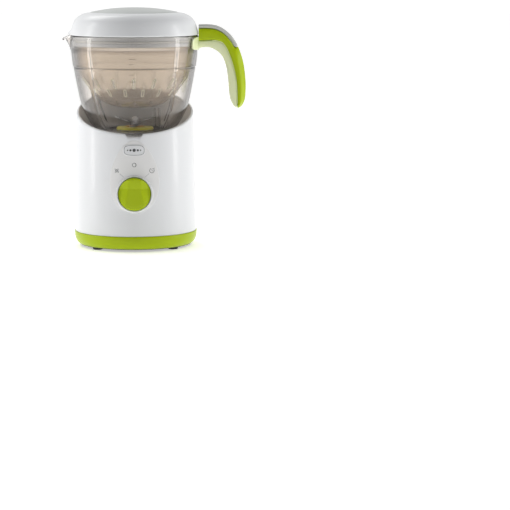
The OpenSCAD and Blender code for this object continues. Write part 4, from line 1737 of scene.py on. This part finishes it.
@dataclass
class Lid(Assembly):
    """White domed lid with a pale disc on top and a seal inside."""

    finishes: Finishes
    skirt_z: float = 248.25
    beak_out: float = 3.4
    beak_half: float = 11.0
    disc_r: float = 50.4
    disc_top: float = 280.0
    disc_drop: float = 5.2

    def build(self) -> None:
        """Makes the lid, the disc and the seal."""
        low = self.skirt_z
        side = spline([(75.0, low + 1.6), (73.9, 255.2), (72.0, 261.5), (69.2, 266.6), (64.6, 270.6),
                       (59.0, 273.0), (51.9, 274.35)], 7)
        outside = [(74.3, low), (74.7, low + 0.12), (74.92, low + 0.4), (75.0, low + 0.9)] + side
        groove = [(51.6, 274.3), (51.45, 274.0), (51.4, 273.0), (0.0, 273.0)]
        inside = [(0.0, 270.8), (54.0, 271.2), (62.0, 268.6), (67.0, 264.0), (69.6, 258.6), (69.2, 252.0),
                  (69.0, 236.4), (69.4, 236.0), (70.6, 236.0), (71.0, 236.4), (71.0, 239.8), (70.1, 240.1),
                  (70.1, 243.0), (71.0, 243.1), (71.1, low)]
        points: List[Point3] = []
        outline = outside + groove + inside
        around = 192
        for r, z in outline:
            for k in range(around):
                a = 2 * math.pi * k / around
                grow = self.beak(a, r, z)
                points.append(((r + grow) * math.cos(a), (r + grow) * math.sin(a), z))
        piece = solid("white_lid", points, grid_faces(len(outline), around, wrap_rows=True), 42.0)
        self.keep(piece, "lid", "white_plastic", self.finishes.made["white_plastic"], ["lid"])
        edge = [(0.0, 273.1), (51.15, 273.1), (51.2, 273.9), (51.05, 274.3), (50.7, 274.6)]
        dome = [(r, self.disc_top - self.disc_drop * (r / self.disc_r) ** 2.2)
                for r in (50.2, 48.5, 46, 42, 37, 31, 25, 19, 13, 7, 3, 0.0)]
        disc = turned("lid_disc", edge + dome, 160, closed=False)
        self.keep(disc, "lid", "pale_grey_plastic", self.finishes.made["pale_grey_plastic"], ["lid_cap"])
        seal = rounded([(70.15, 240.3, 0.2), (71.2, 240.3, 0.3), (71.55, 241.5, 0.5), (71.2, 242.8, 0.3),
                        (70.15, 242.8, 0.2)], 4)
        ring = turned("lid_ring_seal", seal, 144)
        self.keep(ring, "lid", "silicone", self.finishes.made["silicone"], ["lid_seal"])

    def beak(self, angle: float, r: float, z: float) -> float:
        """How far the lid's skirt reaches out over the spout.

        Args:
            angle: Angle about the drive axis, in radians.
            r: Radius of the outline's point.
            z: Height of the outline's point.

        Returns:
            The distance, 0 away from the spout.
        """
        if r < 70.0 or z < 248.0:
            return 0.0
        off = away(math.degrees(angle), 180.0)
        return self.beak_out * (1 - ease(0.0, self.beak_half, off)) * (1 - ease(249.5, 256.0, z))


@dataclass
class Basket(Assembly):
    """Steam basket: its slotted bowl with a raised lip round every slot, the lips in a lighter plastic as a
    painted highlight.

    Each row gives its slots' middle height, their length, how many there are and the first's turn.
    """

    finishes: Finishes
    rows: Tuple[Tuple[float, float, int, float], ...] = ((194.0, 11.0, 16, 0.0), (183.0, 8.0, 16, 11.25))
    side: List[Point2] = field(default_factory=lambda: spline(
        [(0, 163), (16, 163.6), (30, 166.4), (45, 176), (57.6, 191.6), (63.6, 200), (66.2, 208),
         (67.4, 219), (68, 230)], 4))
    slot_half: float = 1.2
    slot_end: float = 1.2
    lip: float = 0.6

    def build(self) -> None:
        """Dresses the bowl and adds the slot lips, coloured lighter as a painted highlight."""
        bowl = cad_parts["basket"]
        bowl.data.materials.clear()
        bowl.data.materials.append(self.finishes.made["basket_plastic"])
        # Lighter opaque plastic for the lips: painted highlight round the slots
        lip = self.finishes.made["lip_plastic"]
        parts: List[bpy.types.Object] = []
        for number, (z, length, count, start) in enumerate(self.rows):
            seed = self.lip_seed(z, length)
            parts.append(ring_of(f"slot_lips_{number}", seed, count, start, lip))
        self.keep(joined("slot_lips", parts), "basket", "basket_plastic", lip)

    def wall(self, z: float) -> float:
        """Outer radius of the basket's bowl at height z."""
        return radius_at(self.side, z)

    def lip_seed(self, z: float, length: float) -> bpy.types.Object:
        """Rounded rim of one slot, lying on the bowl's outside.

        Args:
            z: Its middle's height.
            length: Its length up the wall.

        Returns:
            The rim.
        """
        low, high = z - length / 2, z + length / 2
        half, end = self.slot_half + 0.1, self.slot_end
        loop: List[Point2] = [(half, lerp(low + end, high - end, k / 6)) for k in range(7)]
        loop += [(half * math.cos(math.radians(a)), high - 1.0 + end * math.sin(math.radians(a)))
                 for a in (36, 72, 108, 144)]
        loop += [(-half, lerp(high - end, low + end, k / 6)) for k in range(7)]
        loop += [(half * math.cos(math.radians(a)), low + 1.0 + end * math.sin(math.radians(a)))
                 for a in (216, 252, 288, 324)]
        points: List[Point3] = []
        count, around = len(loop), 6
        for i, (y, height) in enumerate(loop):
            before, after = loop[i - 1], loop[(i + 1) % count]
            reach = math.hypot(after[0] - before[0], after[1] - before[1]) or 1.0
            out = ((after[1] - before[1]) / reach, -(after[0] - before[0]) / reach)
            for k in range(around):
                a = 2 * math.pi * k / around
                side, rise = self.lip * math.cos(a), self.lip * math.sin(a)
                yy, zz = y + out[0] * side, height + out[1] * side
                points.append((math.sqrt(max(self.wall(zz) ** 2 - yy * yy, 1.0)) + rise * 0.9, yy, zz))
        return solid("lip_seed", points, grid_faces(count, around, wrap_rows=True), 80.0)


class Inside:
    """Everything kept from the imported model: the works, the cradle and the jug's fittings."""

    SLOTS: Dict[str, Tuple[str, ...]] = {
        "inner_white_plastic": ("drive_coupling", "interlock_plunger", "steam_nozzle", "filler_cap",
                                "hub_nut", "terminal_block"),
        "white_plastic": ("cradle",),
        "dark_plastic": ("bottom_cover", "rotary_switch", "microswitch", "cooling_fan", "drive_socket"),
        "black_rubber": ("cord_gland", "motor_dampers", "shaft_seal"),
        "silicone": ("nozzle_seal", "hub_seal"),
        "phenolic": ("brush_holders",),
        "carbon": ("carbon_brushes",),
        "steel": ("motor_screws", "motor_shaft", "switch_spindle", "plunger_spring", "handle_screws",
                  "blade_shaft", "blade_nut", "thermostat", "steam_pipe"),
        "blade_steel": ("blade_set",),
        "core_steel": ("motor_stator", "rotor_core"),
        "copper": ("motor_windings", "commutator"),
        "bronze": ("upper_bearing", "lower_bearing", "hub_bearing"),
        "aluminium": ("upper_bracket", "lower_bracket", "boiler"),
        "heater_sheath": ("boiler_heater",),
        "fuse_body": ("thermal_fuse",),
        "circuit_board": ("control_board",),
        "clear_plastic": ("steam_tube",),
    }

    def dress(self, finishes: Finishes) -> None:
        """Gives each kept node its material.

        Args:
            finishes: All the materials.
        """
        for slot, names in self.SLOTS.items():
            for name in names:
                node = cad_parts[name]
                node.data.materials.clear()
                node.data.materials.append(finishes.made[slot])
                LOG.info("%s: packed node in %s", name, slot)


@dataclass
class Studio:
    """Camera, soft lights, pale surroundings and floor."""

    camera_x: float = 0.045
    camera_y: float = -2.433
    camera_z: float = 0.347
    lens: float = 145.55
    yaw: float = -2.275
    pitch: float = -8.43
    floor_half: float = 9.0
    floor_glow: float = 0.44

    def build(self) -> None:
        """Sets the whole studio up."""
        self.camera()
        self.surroundings()
        self.lamp("key_left", (-0.56, -0.06, 0.31), (0.0, 0.0, 0.22), (0.10, 0.58), 1.0)
        self.lamp("key_right", (0.68, -0.10, 0.31), (0.0, 0.0, 0.22), (0.12, 0.58), 1.3)
        self.lamp("top_panel", (-0.6, 0.8, 1.4), (0.0, 0.0, 0.05), (0.9, 0.7), 5.5)
        self.floor()
        bpy.context.scene.view_settings.view_transform = "Standard"

    def camera(self) -> None:
        """The camera, level and turned a little past the object."""
        data = bpy.data.cameras.new("camera")
        data.lens = self.lens
        data.sensor_width = 36.0
        data.clip_end = 60.0
        camera = bpy.data.objects.new("camera", data)
        bpy.context.scene.collection.objects.link(camera)
        camera.location = (self.camera_x, self.camera_y, self.camera_z)
        camera.rotation_euler = (math.radians(90.0 + self.pitch), 0.0, math.radians(self.yaw))
        bpy.context.scene.camera = camera

    def surroundings(self) -> None:
        """A pale room that is dimmer in front, so that glossy parts have shape."""
        world = bpy.data.worlds.new("studio")
        world.use_nodes = True
        bpy.context.scene.world = world
        tree = world.node_tree
        tree.nodes.clear()
        out = tree.nodes.new("ShaderNodeOutputWorld")
        light = tree.nodes.new("ShaderNodeBackground")
        plain = tree.nodes.new("ShaderNodeBackground")
        mixed = tree.nodes.new("ShaderNodeMixShader")
        rays = tree.nodes.new("ShaderNodeLightPath")
        place = tree.nodes.new("ShaderNodeTexCoord")
        split = tree.nodes.new("ShaderNodeSeparateXYZ")
        ramp = tree.nodes.new("ShaderNodeMapRange")
        ramp.inputs["From Min"].default_value = -0.85
        ramp.inputs["From Max"].default_value = 0.25
        ramp.inputs["To Min"].default_value = 0.08
        ramp.inputs["To Max"].default_value = 0.86
        light.inputs["Color"].default_value = (1.0, 1.0, 1.0, 1.0)
        plain.inputs["Color"].default_value = (1.0, 1.0, 1.0, 1.0)
        plain.inputs["Strength"].default_value = 1.05
        tree.links.new(place.outputs["Generated"], split.inputs[0])
        tree.links.new(split.outputs["Y"], ramp.inputs["Value"])
        tree.links.new(ramp.outputs[0], light.inputs["Strength"])
        tree.links.new(rays.outputs["Is Camera Ray"], mixed.inputs[0])
        tree.links.new(light.outputs[0], mixed.inputs[1])
        tree.links.new(plain.outputs[0], mixed.inputs[2])
        tree.links.new(mixed.outputs[0], out.inputs["Surface"])

    def lamp(self, name: str, place: Point3, target: Point3, size: Point2, power: float) -> None:
        """Adds a soft rectangular lamp aimed at a target.

        Args:
            name: Its name.
            place: Where it stands, in metres.
            target: What it looks at, in metres.
            size: Its width and height in metres.
            power: Its power in watts.
        """
        data = bpy.data.lights.new(name, "AREA")
        data.shape = "RECTANGLE"
        data.size, data.size_y = size
        data.energy = power
        data.color = (1.0, 0.99, 0.975)
        lamp = bpy.data.objects.new(name, data)
        bpy.context.scene.collection.objects.link(lamp)
        lamp.location = place
        lamp.visible_camera = False
        lamp.visible_transmission = False
        lamp.rotation_euler = (Vector(target) - Vector(place)).to_track_quat("-Z", "Y").to_euler()

    def floor(self) -> None:
        """A wide pale floor with the faintest texture."""
        mesh = bpy.data.meshes.new("floor")
        edge = self.floor_half
        corners = [(-edge, -edge, 0), (edge, -edge, 0), (edge, edge, 0), (-edge, edge, 0)]
        mesh.from_pydata(corners, [], [(0, 1, 2, 3)])
        floor = bpy.data.objects.new("floor", mesh)
        bpy.context.scene.collection.objects.link(floor)
        s = Shader("floor_paper")
        fibre = s.noise(700.0, 2.0)
        s.set(Base_Color=s.blend(fibre.clamped(), (0.94, 0.935, 0.93), (0.96, 0.957, 0.952)), Roughness=0.65)
        s.put(s.surface.inputs["Specular IOR Level"], 0.2)
        s.put(s.surface.inputs["Emission Color"], (1.0, 0.995, 0.985))
        s.put(s.surface.inputs["Emission Strength"], self.floor_glow)
        s.relief(fibre, 0.00002)
        mesh.materials.append(s.material)


def main() -> None:
    """Builds the studio and the food maker, piece by piece."""
    logging.basicConfig(level=logging.INFO, format="%(name)s: %(message)s")
    Studio().build()
    finishes = Finishes().build()
    Inside().dress(finishes)
    Shell(finishes).build()
    Foot(finishes).build()
    Knob(finishes).build()
    Jug(finishes).build()
    Handle(finishes).build()
    Basket(finishes).build()
    Lid(finishes).build()


if __name__ == "__main__":
    main()
